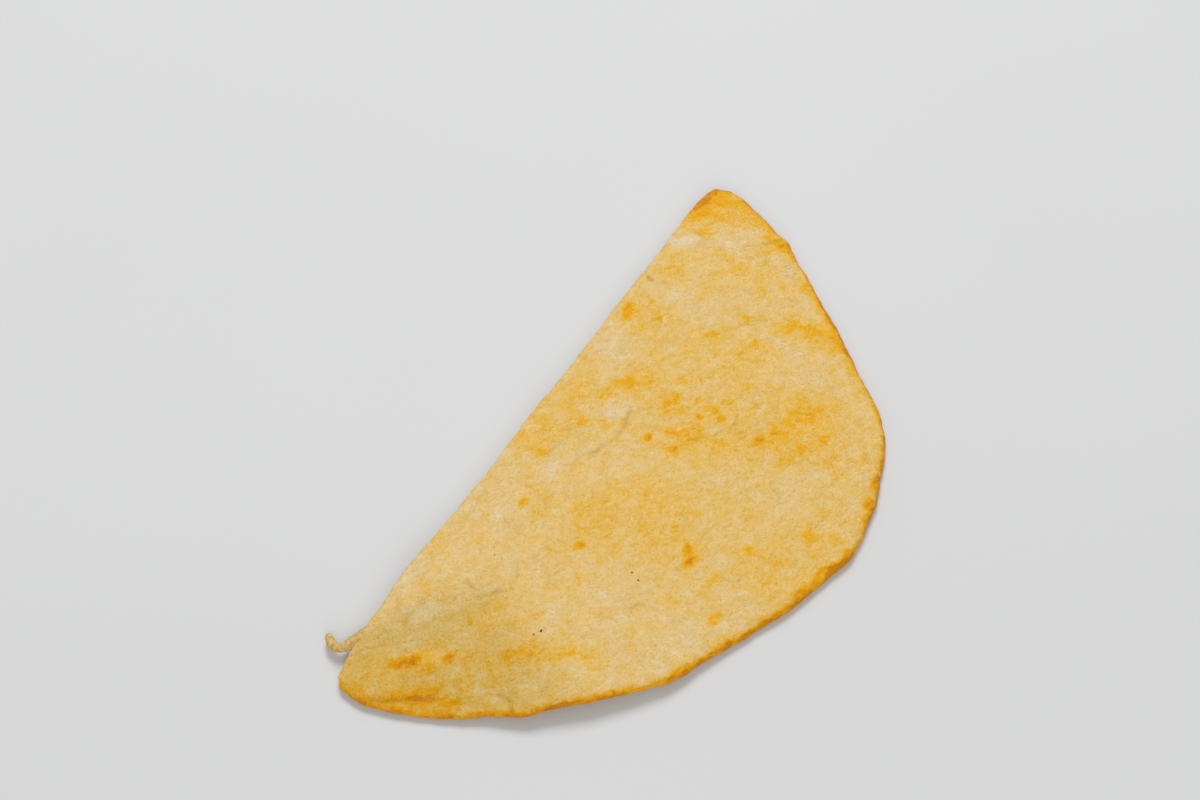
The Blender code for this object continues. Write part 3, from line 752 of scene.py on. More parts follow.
    def top(self, plan: Plan, edge: Edge, crust_gap: Row) -> Row:
        """Browning of the upper face and the rim.

        Args:
            plan: plan places.
            edge: the traced plan edge.
            crust_gap: each place's distance to the baked edge.

        Returns:
            The browning at each place.
        """
        slow, quick = (
            reach * np.column_stack([ripple(plan, length, layer) for layer in layers])
            for reach, length, *layers in self.warps
        )
        raised = plan + quick + self.raised_by
        value = self.base + self.swing[0] * ripple(plan, self.swing[1], Layer.BROWNING)
        value += self.fine_swing[0] * ripple(plan, self.fine_swing[1], Layer.FINE_BROWNING)
        for area in self.areas:
            value += area.gain * area.share(raised + slow, self.area_fall)
        crumbs = self.crumbled[0] + self.crumbled[1] * ripple(plan, self.crumbled[2], Layer.CRUMBLED)
        spots = [(spot, raised, self.core) for spot in self.spots]
        spots += [(toast, plan + quick, self.rim_core) for toast in self._on_rim(edge)]
        least_share = 1e-12
        for spot, places, core_edges in spots:
            reach = np.sqrt(-np.log(np.clip(spot.share(places, 1.0), least_share, 1.0)))
            halo, core = np.exp(-self.halo_fall * reach**2), ease(reach, *core_edges) * crumbs
            value += self.spot_gain * spot.gain * (self.halo * halo + (1.0 - self.halo) * core)
        flour = ease(ripple(plan, self.flour_grain, Layer.FLOURED), 0.0, 0.5)
        value += self.floured.gain * self.floured.share(plan, 1.0) * flour
        value += self._rim(plan, crust_gap)
        most, slack = self.toasted
        return np.where(value > most, most + slack * np.tanh((value - most) / slack), value)

    def _rim(self, plan: Plan, crust_gap: Row) -> Row:
        """What the baked rim adds to the browning: a broken band with a ragged inner border, and a fade.

        Args:
            plan: plan places.
            crust_gap: each place's distance to the baked edge.

        Returns:
            The browning that it adds at each place.
        """
        ragged = 1.0
        for (height, length), layer in zip(self.rim_ragged, (Layer.RIM, Layer.FINE_RIM)):
            ragged = ragged + height * ripple(plan, length, layer)
        band = ease(crust_gap / (self.rim_width * np.clip(ragged, *self.ragged_limits)), *self.rim_border)
        swing, length = self.rim_vary
        band *= np.clip(self.rim_gain + swing * ripple(plan, length, Layer.RIM_TONE), *self.rim_limits)
        share = self.left_rim_share + (1.0 - self.left_rim_share) * ease(plan[:, 0], *self.left_rim)
        soft = sum(gain * np.exp(-((crust_gap / depth) ** 2)) for gain, depth in self.rim_fades)
        return share * (band + soft)

    def tan(self, plan: Plan) -> Row:
        """How far each plan place lies beyond the left fold, where painted shade dulls the whole skin to a
        deeper tan.

        Args:
            plan: plan places.

        Returns:
            A share from 0 to 1 at each place.
        """
        fold_x = np.interp(plan[:, 1], *self.fold_run)
        beyond = ease(fold_x - plan[:, 0], *self.fold_change)
        return beyond * (1.0 - self.golden.gain * self.golden.share(plan, 1.0))

    def under(self, plan: Plan) -> Row:
        """Browning of the underside.

        Args:
            plan: plan places.

        Returns:
            The browning at each place: pale dough with toasted spots where it touched the oven wall.
        """
        patch_size, patch_low, patch_high, patch_gain = self.under_patches
        spot_size, spot_low, spot_high, spot_gain = self.under_spots
        patches_share = ease(ripple(plan, patch_size, Layer.UNDER_PATCH), patch_low, patch_high)
        spots_share = ease(ripple(plan, spot_size, Layer.UNDER_SPOT), spot_low, spot_high)
        on_patches = self.under_bare + (1.0 - self.under_bare) * patches_share
        return self.base + patch_gain * patches_share + spot_gain * spots_share * on_patches

    def _on_rim(self, edge: Edge) -> list[Patch]:
        """Moves each rim toast onto the traced edge and turns it along the edge.

        Args:
            edge: the traced plan edge.

        Returns:
            The moved toasts.
        """
        inward = 0.3
        _, nearest = nearest_on(np.array([(toast.x, toast.y) for toast in self.rim_toasts]), edge.loop)
        moved = []
        for i, toast in zip(nearest, self.rim_toasts):
            normal = edge.normals[i]
            x, y = edge.loop[i] - normal * inward * toast.half_width
            moved.append(replace(toast, x=x, y=y, turn=math.degrees(math.atan2(normal[0], -normal[1]))))
        return moved


@dataclass(frozen=True)
class Streaks:
    """How the short wavy streaks of stretched dough run: their length for their width, turn and bends."""

    stretch: float
    bend: float
    bends_in_metre: float
    turn: float = 38.0

    def along(self, tree: Tree, place: Socket) -> Socket:
        """Adds coordinates in which a noise runs in the streaks.

        Args:
            tree: the material's or the geometry tree.
            place: the coordinates on the bread.

        Returns:
            The bent, turned and squeezed coordinates.
        """
        waves = {"Vector": place, "Scale": self.bends_in_metre, "Detail": 1.0}
        wave = add_node(tree, NOISE, waves, out="Color")
        bending = {0: wave, 1: (self.bend * MM,) * 3, 2: place}
        bent = add_node(tree, VECTOR_MATH, bending, operation="MULTIPLY_ADD")
        turning = {"Vector": bent, "Angle": math.radians(self.turn)}
        turned = add_node(tree, "ShaderNodeVectorRotate", turning, rotation_type="Z_AXIS")
        squeeze = (1.0 / self.stretch, 1.0, 1.0)
        return add_node(tree, VECTOR_MATH, {0: turned, 1: squeeze}, operation="MULTIPLY")


@dataclass(frozen=True)
class BakedSkin:
    """Baked wheat-dough skin, brushed with oil: soft golden browning in grains, a low broad gloss."""

    name: str = "baked_dough_skin_oiled"
    # Tones from raw pale dough to toasted brown, each at its browning
    tones: tuple[tuple[float, str], ...] = (
        (0.33, "E5CEA2"), (0.41, "E3C384"), (0.53, "E6BC64"), (0.65, "E8B340"), (0.77, "E8AC1E"),
        (0.87, "EAA608"), (0.96, "E69D03"), (1.05, "D08702"),
    )
    tone_reach: float = 1.1
    deepest: float = 1.07
    crumb_tones: tuple[str, str] = ("FAE7B6", "ECC987")
    # Painted shade in fine creases and wrinkles: a darker olive tone, and how much of it
    crease_shade_tone: str = "B4901C"
    crease_shade_mix: float = 0.6
    # Painted shade over the left end past the fold, multiplied into the skin's colour
    fold_shade_tone: str = "F0EAC6"
    # Size, detail and browning swing of three noises: broad mottle, clumps of brown along the streaks, grain
    mottle: tuple[float, float, float] = (4.2, 3.0, 0.175)
    clump: tuple[float, float, float] = (1.7, 1.5, 0.285)
    grain: tuple[float, float, float] = (0.9, 1.0, 0.07)
    # The skin's own pores are near 0.1 mm, too fine to show, so they are drawn this coarse
    pore_size: float = 0.42
    streaks: Streaks = Streaks(1.9, 5.0, 1000.0 / 8.5)
    # Browning and strength of the mottle on pale dough, and the same on toasted dough
    mottle_pale: Pair = (0.42, 0.53)
    mottle_toasted: Pair = (0.64, 1.1)
    # Fine painted glints and shade all over the skin: how much, and each noise's share in it
    painted_light: float = 0.14
    painted_light_shares: tuple[float, float, float] = (0.6, 0.6, 1.0)
    # The browning between which the painted glints and shade fade, and what is left of them
    painted_light_fade: tuple[float, float, float] = (0.62, 0.86, 0.3)
    # The noise values between which the gloss changes, and its roughness at each
    gloss_span: Pair = (0.35, 0.65)
    roughness: Pair = (0.17, 0.34)
    crumb_roughness: float = 0.4
    ior: float = 1.45
    gloss_level: float = 0.11
    subsurface: float = 0.08
    subsurface_colour: tuple[float, float, float] = (1.0, 0.55, 0.25)
    subsurface_depth: float = 1.6
    bump_depth: float = 0.35
    bump_strength: float = 1.0
    bump_streaks: float = 1.8

    def made(self) -> bpy.types.Material:
        """Builds the material.

        Returns:
            The finish of the bread's skin and of the crumb in its cut face.
        """
        # Baked flour dough brushed with oil: light goes a little way in, brown gathers in grains, oil glints
        material = bpy.data.materials.new(self.name)
        material.use_nodes = True
        tree = material.node_tree
        shader = tree.nodes["Principled BSDF"]
        place = add_node(tree, "ShaderNodeTexCoord", out="Object")
        bake, crumb, crease, tan = (
            add_node(tree, "ShaderNodeAttribute", out="Fac", attribute_name=name)
            for name in ("bake", "crumb", "crease", "tan")
        )
        stretched = self.streaks.along(tree, place)
        kinds = (self.mottle, self.clump, self.grain)
        grains = [
            add_node(tree, NOISE, {"Vector": where, "Scale": 1.0 / (size * MM), "Detail": detail})
            for where, (size, detail, _) in zip((place, stretched, place), kinds)
        ]
        pores = add_node(tree, NOISE, {"Vector": place, "Scale": 1.0 / (self.pore_size * MM), "Detail": 1.0})

        swing = -0.5 * sum(gain for _, _, gain in kinds)
        for grain, (_, _, gain) in zip(grains, kinds):
            swing = add_node(tree, MATH, {0: grain, 1: gain, 2: swing}, operation="MULTIPLY_ADD")
        strength = add_node(tree, MAP_RANGE, {
            "Value": bake, "From Min": self.mottle_pale[0], "From Max": self.mottle_toasted[0],
            "To Min": self.mottle_pale[1], "To Max": self.mottle_toasted[1],
        })
        browning = add_node(tree, MATH, {0: swing, 1: strength, 2: bake}, operation="MULTIPLY_ADD")
        browning = add_node(tree, MATH, {0: browning, 1: self.deepest}, operation="MINIMUM")
        browning = add_node(tree, MATH, {0: browning, 1: self.tone_reach}, operation="DIVIDE")
        skin = add_node(tree, "ShaderNodeValToRGB", {"Fac": browning})
        self._fill_ramp(skin.node.color_ramp)

        # Painted shade dulls the skin past the left fold
        fold_shaded = {0: tan, 6: skin, 7: linear(self.fold_shade_tone)}
        skin = add_node(tree, MIX, fold_shaded, out=2, data_type="RGBA", blend_type="MULTIPLY")
        # Fine painted glints and shade go into the skin's colour, fainter where it is toasted
        painted_light, middle = pores, 0.5
        for grain, share in zip(grains, self.painted_light_shares):
            painted_light = add_node(tree, MATH, {0: grain, 1: share, 2: painted_light}, operation="MULTIPLY_ADD")
            middle += 0.5 * share
        painted_light = add_node(tree, MAP_RANGE, {
            "Value": painted_light, "From Min": middle - 0.5, "From Max": middle + 0.5,
            "To Min": 0.5 * self.painted_light, "To Max": -0.5 * self.painted_light,
        })
        fade = add_node(tree, MAP_RANGE, {
            "Value": browning, "From Min": self.painted_light_fade[0], "From Max": self.painted_light_fade[1],
            "To Min": 1.0, "To Max": self.painted_light_fade[2],
        })
        light_painted = {0: fade, 6: skin, 7: painted_light}
        skin = add_node(tree, MIX, light_painted, out=2, data_type="RGBA", blend_type="ADD", clamp_result=True)
        # Painted shade darkens the fine creases and wrinkles
        crease_shade_share = add_node(tree, MATH, {0: crease, 1: self.crease_shade_mix}, operation="MULTIPLY")
        crease_shaded = {0: crease_shade_share, 6: skin, 7: linear(self.crease_shade_tone)}
        skin = add_node(tree, MIX, crease_shaded, out=2, data_type="RGBA")
        pale, deep = (linear(tone) for tone in self.crumb_tones)
        inside = add_node(tree, MIX, {0: grains[2], 6: pale, 7: deep}, out=2, data_type="RGBA")
        colour = add_node(tree, MIX, {0: crumb, 6: skin, 7: inside}, out=2, data_type="RGBA")
        tree.links.new(colour, shader.inputs["Base Color"])

        gloss = add_node(tree, MAP_RANGE, {
            "Value": grains[0], "From Min": self.gloss_span[0], "From Max": self.gloss_span[1],
            "To Min": self.roughness[0], "To Max": self.roughness[1],
        })
        gloss = add_node(tree, MATH, {0: crumb, 1: self.crumb_roughness, 2: gloss}, operation="MULTIPLY_ADD")
        tree.links.new(gloss, shader.inputs["Roughness"])
        shader.inputs["IOR"].default_value = self.ior
        shader.inputs["Specular IOR Level"].default_value = self.gloss_level
        shader.inputs["Subsurface Weight"].default_value = self.subsurface
        shader.inputs["Subsurface Radius"].default_value = self.subsurface_colour
        shader.inputs["Subsurface Scale"].default_value = self.subsurface_depth * MM

        fine = add_node(tree, MATH, {0: pores, 1: grains[2]}, operation="ADD")
        streaked = {0: grains[1], 1: self.bump_streaks, 2: fine}
        relief = add_node(tree, MATH, streaked, operation="MULTIPLY_ADD")
        bump = add_node(tree, "ShaderNodeBump", {
            "Height": relief, "Strength": self.bump_strength, "Distance": self.bump_depth * MM,
        })
        tree.links.new(bump, shader.inputs["Normal"])
        return material

    def _fill_ramp(self, ramp: bpy.types.ColorRamp) -> None:
        """Sets the browning tones on a colour ramp.

        Args:
            ramp: the ramp, which starts with fewer stops than there are tones.
        """
        while len(ramp.elements) < len(self.tones):
            ramp.elements.new(1.0)
        for element, (place, tone) in zip(ramp.elements, self.tones):
            element.position = place / self.tone_reach
            element.color = linear(tone)


@dataclass(frozen=True)
class MattGrain:
    """A matt finish whose colour drifts between two tones."""

    name: str
    first: str
    second: str
    grain_size: float
    roughness: float
    gloss_level: float
    bump_depth: float
    subsurface: float = 0.0
    subsurface_colour: tuple[float, float, float] = (1.0, 0.6, 0.3)
    subsurface_depth: float = 1.5
    # The noise values at which the first tone ends and the second is full
    tone_span: Pair = (0.35, 0.65)

    def made(self) -> bpy.types.Material:
        """Builds the material.

        Returns:
            The finish.
        """
        material = bpy.data.materials.new(self.name)
        material.use_nodes = True
        tree = material.node_tree
        shader = tree.nodes["Principled BSDF"]
        place = add_node(tree, "ShaderNodeTexCoord", out="Object")
        grains = {"Vector": place, "Scale": 1.0 / (self.grain_size * MM), "Detail": 2.0}
        grain, (low, high) = add_node(tree, NOISE, grains), self.tone_span
        share = add_node(tree, MAP_RANGE, {"Value": grain, "From Min": low, "From Max": high})
        tones = {0: share, 6: linear(self.first), 7: linear(self.second)}
        colour = add_node(tree, MIX, tones, out=2, data_type="RGBA")
        tree.links.new(colour, shader.inputs["Base Color"])
        bump = add_node(tree, "ShaderNodeBump", {"Height": grain, "Distance": self.bump_depth * MM})
        tree.links.new(bump, shader.inputs["Normal"])
        shader.inputs["Roughness"].default_value = self.roughness
        shader.inputs["Specular IOR Level"].default_value = self.gloss_level
        shader.inputs["Subsurface Weight"].default_value = self.subsurface
        shader.inputs["Subsurface Radius"].default_value = self.subsurface_colour
        shader.inputs["Subsurface Scale"].default_value = self.subsurface_depth * MM
        return material


# Dough torn by hand and baked without oil: uneven and matt, and a little light goes in
TORN_DOUGH = MattGrain("torn_dough_matt", "D8B673", "BE984E", 1.1, 0.7, 0.25, 0.25, 0.12)
# Flour burnt on the oven wall: near black and dry, so it has no glint
CHARRED_FLOUR = MattGrain("charred_flour_matt", "3A2817", "5E4426", 0.25, 0.85, 0.2, 0.05)
# Pressed matt paper: an even pale grey whose tone drifts so slowly that it hardly shows
TABLE_PAPER = MattGrain("matt_paper_backdrop", "D6D6D6", "D4D4D4", 250.0, 0.9, 0.2, 0.0)


def geometry_tree(name: str, values: dict[str, Any]) -> tuple[Tree, Any]:
    """Starts a Geometry Nodes tree.

    Args:
        name: the tree's name.
        values: what the named inputs after the geometry will be set to, which gives each its socket type.

    Returns:
        The tree and the output sockets of its input node, by name.
    """
    kinds = {float: "NodeSocketFloat", int: "NodeSocketInt", bpy.types.Material: "NodeSocketMaterial"}
    tree = bpy.data.node_groups.new(name, "GeometryNodeTree")
    tree.interface.new_socket(name="Geometry", in_out="INPUT", socket_type="NodeSocketGeometry")
    for label, value in values.items():
        tree.interface.new_socket(name=label, in_out="INPUT", socket_type=kinds[type(value)])
    tree.interface.new_socket(name="Geometry", in_out="OUTPUT", socket_type="NodeSocketGeometry")
    return tree, add_node(tree, "NodeGroupInput").node.outputs


def stored(tree: Tree, name: str) -> Socket:
    """Reads in a Geometry Nodes tree the numbers that the mesh carries under a name."""
    return add_node(tree, "GeometryNodeInputNamedAttribute", {"Name": name}, data_type="FLOAT")


def roughened(tree: Tree, geometry: Socket, noise_fill: dict, reach: Socket) -> Socket:
    """Moves each point of a geometry to and fro by a noise.

    Args:
        tree: the tree.
        geometry: the geometry whose points are moved.
        noise_fill: the noise's own inputs.
        reach: how far the points are moved.

    Returns:
        The rough geometry.
    """
    place, middle = add_node(tree, "GeometryNodeInputPosition"), (0.5, 0.5, 0.5)
    lumps = add_node(tree, NOISE, {"Vector": place, **noise_fill}, out="Color")
    centred = add_node(tree, VECTOR_MATH, {0: lumps, 1: middle}, operation="SUBTRACT")
    offset = add_node(tree, VECTOR_MATH, {0: centred, "Scale": reach}, operation="SCALE")
    return add_node(tree, "GeometryNodeSetPosition", {"Geometry": geometry, "Offset": offset})


def end_tree(tree: Tree, geometry: Socket, finish: Socket) -> None:
    """Ends a tree in smooth shading, Realize Instances and Set Material.

    Args:
        tree: the tree.
        geometry: the geometry that it has made.
        finish: the material input.
    """
    smooth = add_node(tree, "GeometryNodeSetShadeSmooth", {"Geometry": geometry, "Shade Smooth": True})
    real = add_node(tree, "GeometryNodeRealizeInstances", {"Geometry": smooth})
    dressed = add_node(tree, "GeometryNodeSetMaterial", {"Geometry": real, "Material": finish})
    add_node(tree, "NodeGroupOutput", {0: dressed})


def grown(thing: bpy.types.Object, tree: Tree, values: dict[str, Any]) -> bpy.types.Object:
    """Runs a tree on an object and leaves the result as its plain mesh.

    Args:
        thing: the object whose mesh goes in.
        tree: the Geometry Nodes tree.
        values: what its named inputs are set to.

    Returns:
        The same object, with the new mesh and no modifier.
    """
    modifier = thing.modifiers.new(tree.name, "NODES")
    modifier.node_group = tree
    for item in tree.interface.items_tree:
        if item.in_out == "INPUT" and item.name in values:
            modifier[item.identifier] = values[item.name]
    bpy.context.view_layer.update()
    graph = bpy.context.evaluated_depsgraph_get()
    source = thing.evaluated_get(graph)
    mesh = bpy.data.meshes.new_from_object(source, preserve_all_data_layers=True, depsgraph=graph)
    thing.modifiers.remove(modifier)
    mesh.name = thing.name
    thing.data = mesh
    return thing


def placed(name: str, mesh: bpy.types.Mesh) -> bpy.types.Object:
    """Puts a mesh into the scene.

    Args:
        name: the object's name.
        mesh: its mesh.

    Returns:
        The new object.
    """
    thing = bpy.data.objects.new(name, mesh)
    bpy.context.scene.collection.objects.link(thing)
    return thing


def add_values(mesh: bpy.types.Mesh, name: str, values: Row) -> None:
    """Stores one number for each point of a mesh.

    Args:
        mesh: the mesh.
        name: the attribute's name.
        values: the numbers.
    """
    layer = mesh.attributes.new(name, "FLOAT", "POINT")
    layer.data.foreach_set("value", np.asarray(values, np.float32))


@dataclass
class BreadSheet:
    """The whole sheet of baked dough: upper face, rounded rim, cut face and underside, as one mesh."""

    outline: PlanOutline
    form: DoughForm
    bake: BakeMap
    finish: BakedSkin
    edge_step: float = 0.66
    top_step: float = 0.66
    under_step: float = 1.35
    section_rows: int = 19
    # The rounded rim: angles round its side from the top down, roundings above and below its waist
    crust_angles: tuple[int, ...] = (90, 64, 42, 21, 0, -30, -62, -90)
    crust_rounding_top: float = 3.0
    crust_rounding_under: float = 2.6
    crust_waist: float = 1.5
    # The section of the cut face from the top down: how far in, and at which share of the thickness
    cut_section: Table = (
        (2.4, 1.0), (1.0, 0.99), (0.3, 0.94), (0.0, 0.8), (0.0, 0.5), (0.0, 0.22), (0.25, 0.05), (1.6, 0.0),
    )
    # Shares of the thickness between which the crumb starts to show, at the foot and at the head of the cut
    crumb_foot: Pair = (0.04, 0.14)
    crumb_head: Pair = (0.86, 0.96)
    crust_faces_up: Pair = (-0.85, -0.1)
    edge_clearance: float = 0.55
    pebble_height: float = 0.26
    pebble_size: float = 1.8
    # Where the skin is most pebbled and glints, and how pebbled it is elsewhere, below and at the crust
    glinting: Patch = Patch(12.0, -72.0, 42.0, 30.0, 0.75, 20.0)
    pebbled: float = 0.55
    pebbled_under: float = 0.4
    pebbled_crust: float = 0.5
    smooth_crust: float = 8.0
    streak_height: float = 0.85
    streak_width: float = 1.8
    streaks: Streaks = Streaks(2.5, 8.0, 140.0)
    # Air cells: how deep and wide, how much flatter than wide, and where their floor ends and wall begins
    cell_depth: float = 0.8
    cell_size: float = 3.0
    small_cell_size: float = 1.5
    small_cell_share: float = 0.4
    cell_flatness: float = 1.8
    cell_wall: Pair = (0.1, 0.55)
    # The lowest that the relief may reach above the surface that the bread rests on
    clearance: float = 0.02
    shift: Vector = field(default_factory=lambda: Vector((0.0, 0.0, 0.0)))

    def build(self) -> bpy.types.Object:
        """Builds, places and dresses the sheet.

        Returns:
            The sheet, as a plain mesh at its place in the frame.
        """
        edge = self.outline.traced(self.edge_step)
        points, faces, values = self._parts(edge)
        low, high = points.min(axis=0), points.max(axis=0)
        cad_low, cad_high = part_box(CAD_NODE)
        middle_x = (low[0] + high[0]) / 2.0
        self.shift.x = (cad_low.x + cad_high.x) / 2.0 - middle_x * MM
        self.shift.y = cad_low.y - low[1] * MM
        self.shift.z = cad_low.z - low[2] * MM
        mesh = bpy.data.meshes.new("bread_sheet")
        mesh.from_pydata((points * MM + np.array(self.shift)).tolist(), [], faces)
        for name, numbers in values.items():
            add_values(mesh, name, numbers)
        mesh.validate()
        values = self._relief_values()
        return grown(placed("bread_sheet", mesh), self._relief_tree(values), values)

    def _parts(self, edge: Edge) -> tuple[Plan, list, dict[str, Row]]:
        """Works out the sheet's points, faces and the values that its finish reads.

        Args:
            edge: the traced plan edge.

        Returns:
            Points in millimetres, faces, and a named row of numbers for each use.
        """
        rings, facing, wall = self._rings(edge)
        count = len(edge.loop)
        top_plan, top_faces = self._filled(rings[0][:, :2], self.top_step)
        under_plan, under_faces = self._filled(rings[-1][:, :2], self.under_step)
        top_inner, under_inner = top_plan[count:], under_plan[count:]
        top_gap, _ = nearest_on(top_inner, edge.crust)
        under_gap, _ = nearest_on(under_inner, edge.crust)
        blisters = self.bake.blisters()
        top_z = self.form.lift(top_inner, top_gap) + self.form.thickness(top_inner, top_gap, blisters)
        under_z = self.form.lift(under_inner, under_gap)
        ring_points = np.vstack(rings)
        inner = [np.column_stack(pair) for pair in ((top_inner, top_z), (under_inner, under_z))]
        points = np.vstack([ring_points, *inner])

        faces = []
        for row in range(len(rings) - 1):
            upper, lower = row * count, (row + 1) * count
            for i in range(count):
                j = (i + 1) % count
                faces.append((upper + i, lower + i, lower + j, upper + j))
        last_ring, first_top = (len(rings) - 1) * count, len(ring_points)
        first_under = first_top + len(top_inner)
        faces += [tuple(i if i < count else first_top + i - count for i in face) for face in top_faces]
        faces += [
            tuple(last_ring + i if i < count else first_under + i - count for i in reversed(face))
            for face in under_faces
        ]

        plan = points[:, :2]
        gap = np.concatenate([nearest_on(ring_points[:, :2], edge.crust)[0], top_gap, under_gap])
        is_top = np.concatenate([facing, np.ones(len(top_inner)), np.zeros(len(under_inner))])
        crumb = np.concatenate([wall, np.zeros(len(top_inner) + len(under_inner))])
        pebbled_side = self.pebbled_under + (1.0 - self.pebbled_under) * is_top
        values = {
            "bake": is_top * self.bake.top(plan, edge, gap) + (1.0 - is_top) * self.bake.under(plan),
            "crumb": crumb,
            # Painted shade in the fine creases and wrinkles
            "crease": self.form.crease_shade_share(plan) * is_top,
            # Painted shade over the left end beyond the fold
            "tan": self.bake.tan(plan) * is_top,
            "pebble": self._pebble_share(plan, gap) * pebbled_side * (1.0 - crumb),
        }
        return points, faces, values

    def _pebble_share(self, plan: Plan, crust_gap: Row) -> Row:
        """How strongly the skin is pebbled: most over the middle right, least by the crust.

        Args:
            plan: plan places.
            crust_gap: each place's distance to the baked edge.

        Returns:
            A share at each place.
        """
        inner = self.pebbled + self.glinting.gain * self.glinting.share(plan, 1.0)
        off_crust = self.pebbled_crust + (1.0 - self.pebbled_crust) * ease(crust_gap, 0.0, self.smooth_crust)
        return inner * off_crust

    def _rings(self, edge: Edge) -> tuple[list[Plan], Row, Row]:
        """Rings of points round the edge, from the upper face over the side to the underside.

        Args:
            edge: the traced plan edge.

        Returns:
            The rings, how far each point faces up, and how far it is open crumb.
        """
        table_rows = np.arange(len(self.crust_angles))
        at = np.linspace(0.0, table_rows[-1], self.section_rows)
        angles = np.interp(at, table_rows, self.crust_angles)
        insets = np.interp(at, table_rows, [row[0] for row in self.cut_section])
        shares = np.interp(at, table_rows, [row[1] for row in self.cut_section])
        blisters, half = self.bake.blisters(), 0.4
        rings, facing, wall = [], [], []
        for angle, cut_inset, cut_height in zip(angles, insets, shares):
            rise = math.sin(math.radians(angle))
            reach = self.crust_rounding_top if angle > 0 else self.crust_rounding_under
            crust_inset = reach * (1.0 - math.cos(math.radians(angle)))
            inset = crust_inset * (1.0 - edge.cut_share) + cut_inset * edge.cut_share
            plan = edge.loop - edge.normals * inset[:, None]
            gap, _ = nearest_on(plan, edge.crust)
            full = self.form.thickness(plan, gap, blisters)
            waist = self.crust_waist
            above = waist + (full - waist) * rise if angle > 0 else waist * (1.0 + rise)
            height = above * (1.0 - edge.cut_share) + full * cut_height * edge.cut_share
            rings.append(np.column_stack([plan, self.form.lift(plan, gap) + height]))
            crust_facing = float(ease(np.array(rise), *self.crust_faces_up))
            cut_facing = 1.0 if cut_height > half else 0.0
            facing.append(crust_facing * (1.0 - edge.cut_share) + cut_facing * edge.cut_share)
            spans = (self.crumb_foot, self.crumb_head)
            foot, head = (float(ease(np.array(cut_height), *span)) for span in spans)
            wall.append(foot * (1.0 - head) * edge.cut_share)
        return rings, np.concatenate(facing), np.concatenate(wall)

    def _filled(self, ring: Plan, step: float) -> tuple[Plan, list]:
        """Triangulates the space inside a ring, with a triangular lattice of points between its sides.

        Args:
            ring: the ring's plan points.
            step: spacing of the lattice.

        Returns:
            The ring's points and then the lattice's, and the faces, counter-clockwise.
        """
        lattice = self._lattice(ring, step)
        gap, _ = nearest_on(lattice, ring)
        lattice = lattice[gap > self.edge_clearance * step]
        border = list(range(len(ring)))
        sides = [(i, (i + 1) % len(ring)) for i in border]
        places = [Vector(place) for place in np.vstack([ring, lattice])]
        inside_only, nearness = 1, 1e-6
        found = delaunay_2d_cdt(places, sides, [border], inside_only, nearness)
        points, _, faces, sources, _, _ = found
        used = sorted({corner for face in faces for corner in face})
        order = sorted(used, key=lambda corner: sources[corner][0] if sources[corner] else len(places))
        renumbered = {old: new for new, old in enumerate(order)}
        faces = [tuple(renumbered[corner] for corner in face) for face in faces]
        return np.array([tuple(points[old]) for old in order]), faces

    @staticmethod
    def _lattice(ring: Plan, step: float) -> Plan:
        """Lays a triangular lattice inside a ring.

        Args:
            ring: the ring's plan points.
            step: spacing of the lattice.

        Returns:
            The points of the lattice that lie inside the ring.
        """
        low, high = ring.min(axis=0), ring.max(axis=0)
        after = np.roll(ring, -1, axis=0)
        rows, row_step = [], step * math.sqrt(0.75)
        for number, y in enumerate(np.arange(low[1], high[1], row_step)):
            columns = np.arange(low[0] + 0.5 * step * (number % 2), high[0], step)
            crossed = (ring[:, 1] <= y) != (after[:, 1] <= y)
            share = (y - ring[crossed, 1]) / (after[crossed, 1] - ring[crossed, 1])
            crossings = np.sort(ring[crossed, 0] + share * (after[crossed, 0] - ring[crossed, 0]))
            inside = np.searchsorted(crossings, columns) % 2 == 1
            rows.append(np.column_stack([columns[inside], np.full(inside.sum(), y)]))
        return np.vstack(rows)

    def _relief_values(self) -> dict[str, Any]:
        """Lists what the relief tree's inputs are set to, in metres.

        Returns:
            The value of each input, by name.
        """
        return {
            "Pebble Height": self.pebble_height * MM,
            "Pebble Size": self.pebble_size * MM,
            "Streak Height": self.streak_height * MM,
            "Streak Width": self.streak_width * MM,
            "Cell Depth": self.cell_depth * MM,
            "Cell Size": self.cell_size * MM,
            "Small Cell Size": self.small_cell_size * MM,
            "Finish": self.finish.made(),
        }

    def _relief_tree(self, values: dict[str, Any]) -> Tree:
        """The skin's pebbles and streaks, and the air cells of the cut face, as real relief.

        Args:
            values: what the tree's named inputs will be set to.

        Returns:
            The Geometry Nodes tree.
        """
        tree, given = geometry_tree("dough_relief", values)
        place = add_node(tree, "GeometryNodeInputPosition")
        pebbled, open_cut = stored(tree, "pebble"), stored(tree, "crumb")

        skin, along = 0.0, self.streaks.along(tree, place)
        for where, size, height in (
            (place, "Pebble Size", "Pebble Height"), (along, "Streak Width", "Streak Height"),
        ):
            scale = add_node(tree, MATH, {0: 1.0, 1: given[size]}, operation="DIVIDE")
            grain = add_node(tree, NOISE, {"Vector": where, "Scale": scale, "Detail": 1.0})
            centred = add_node(tree, MATH, {0: grain, 1: 0.5}, operation="SUBTRACT")
            skin = add_node(tree, MATH, {0: centred, 1: given[height], 2: skin}, operation="MULTIPLY_ADD")
        skin = add_node(tree, MATH, {0: skin, 1: pebbled}, operation="MULTIPLY")

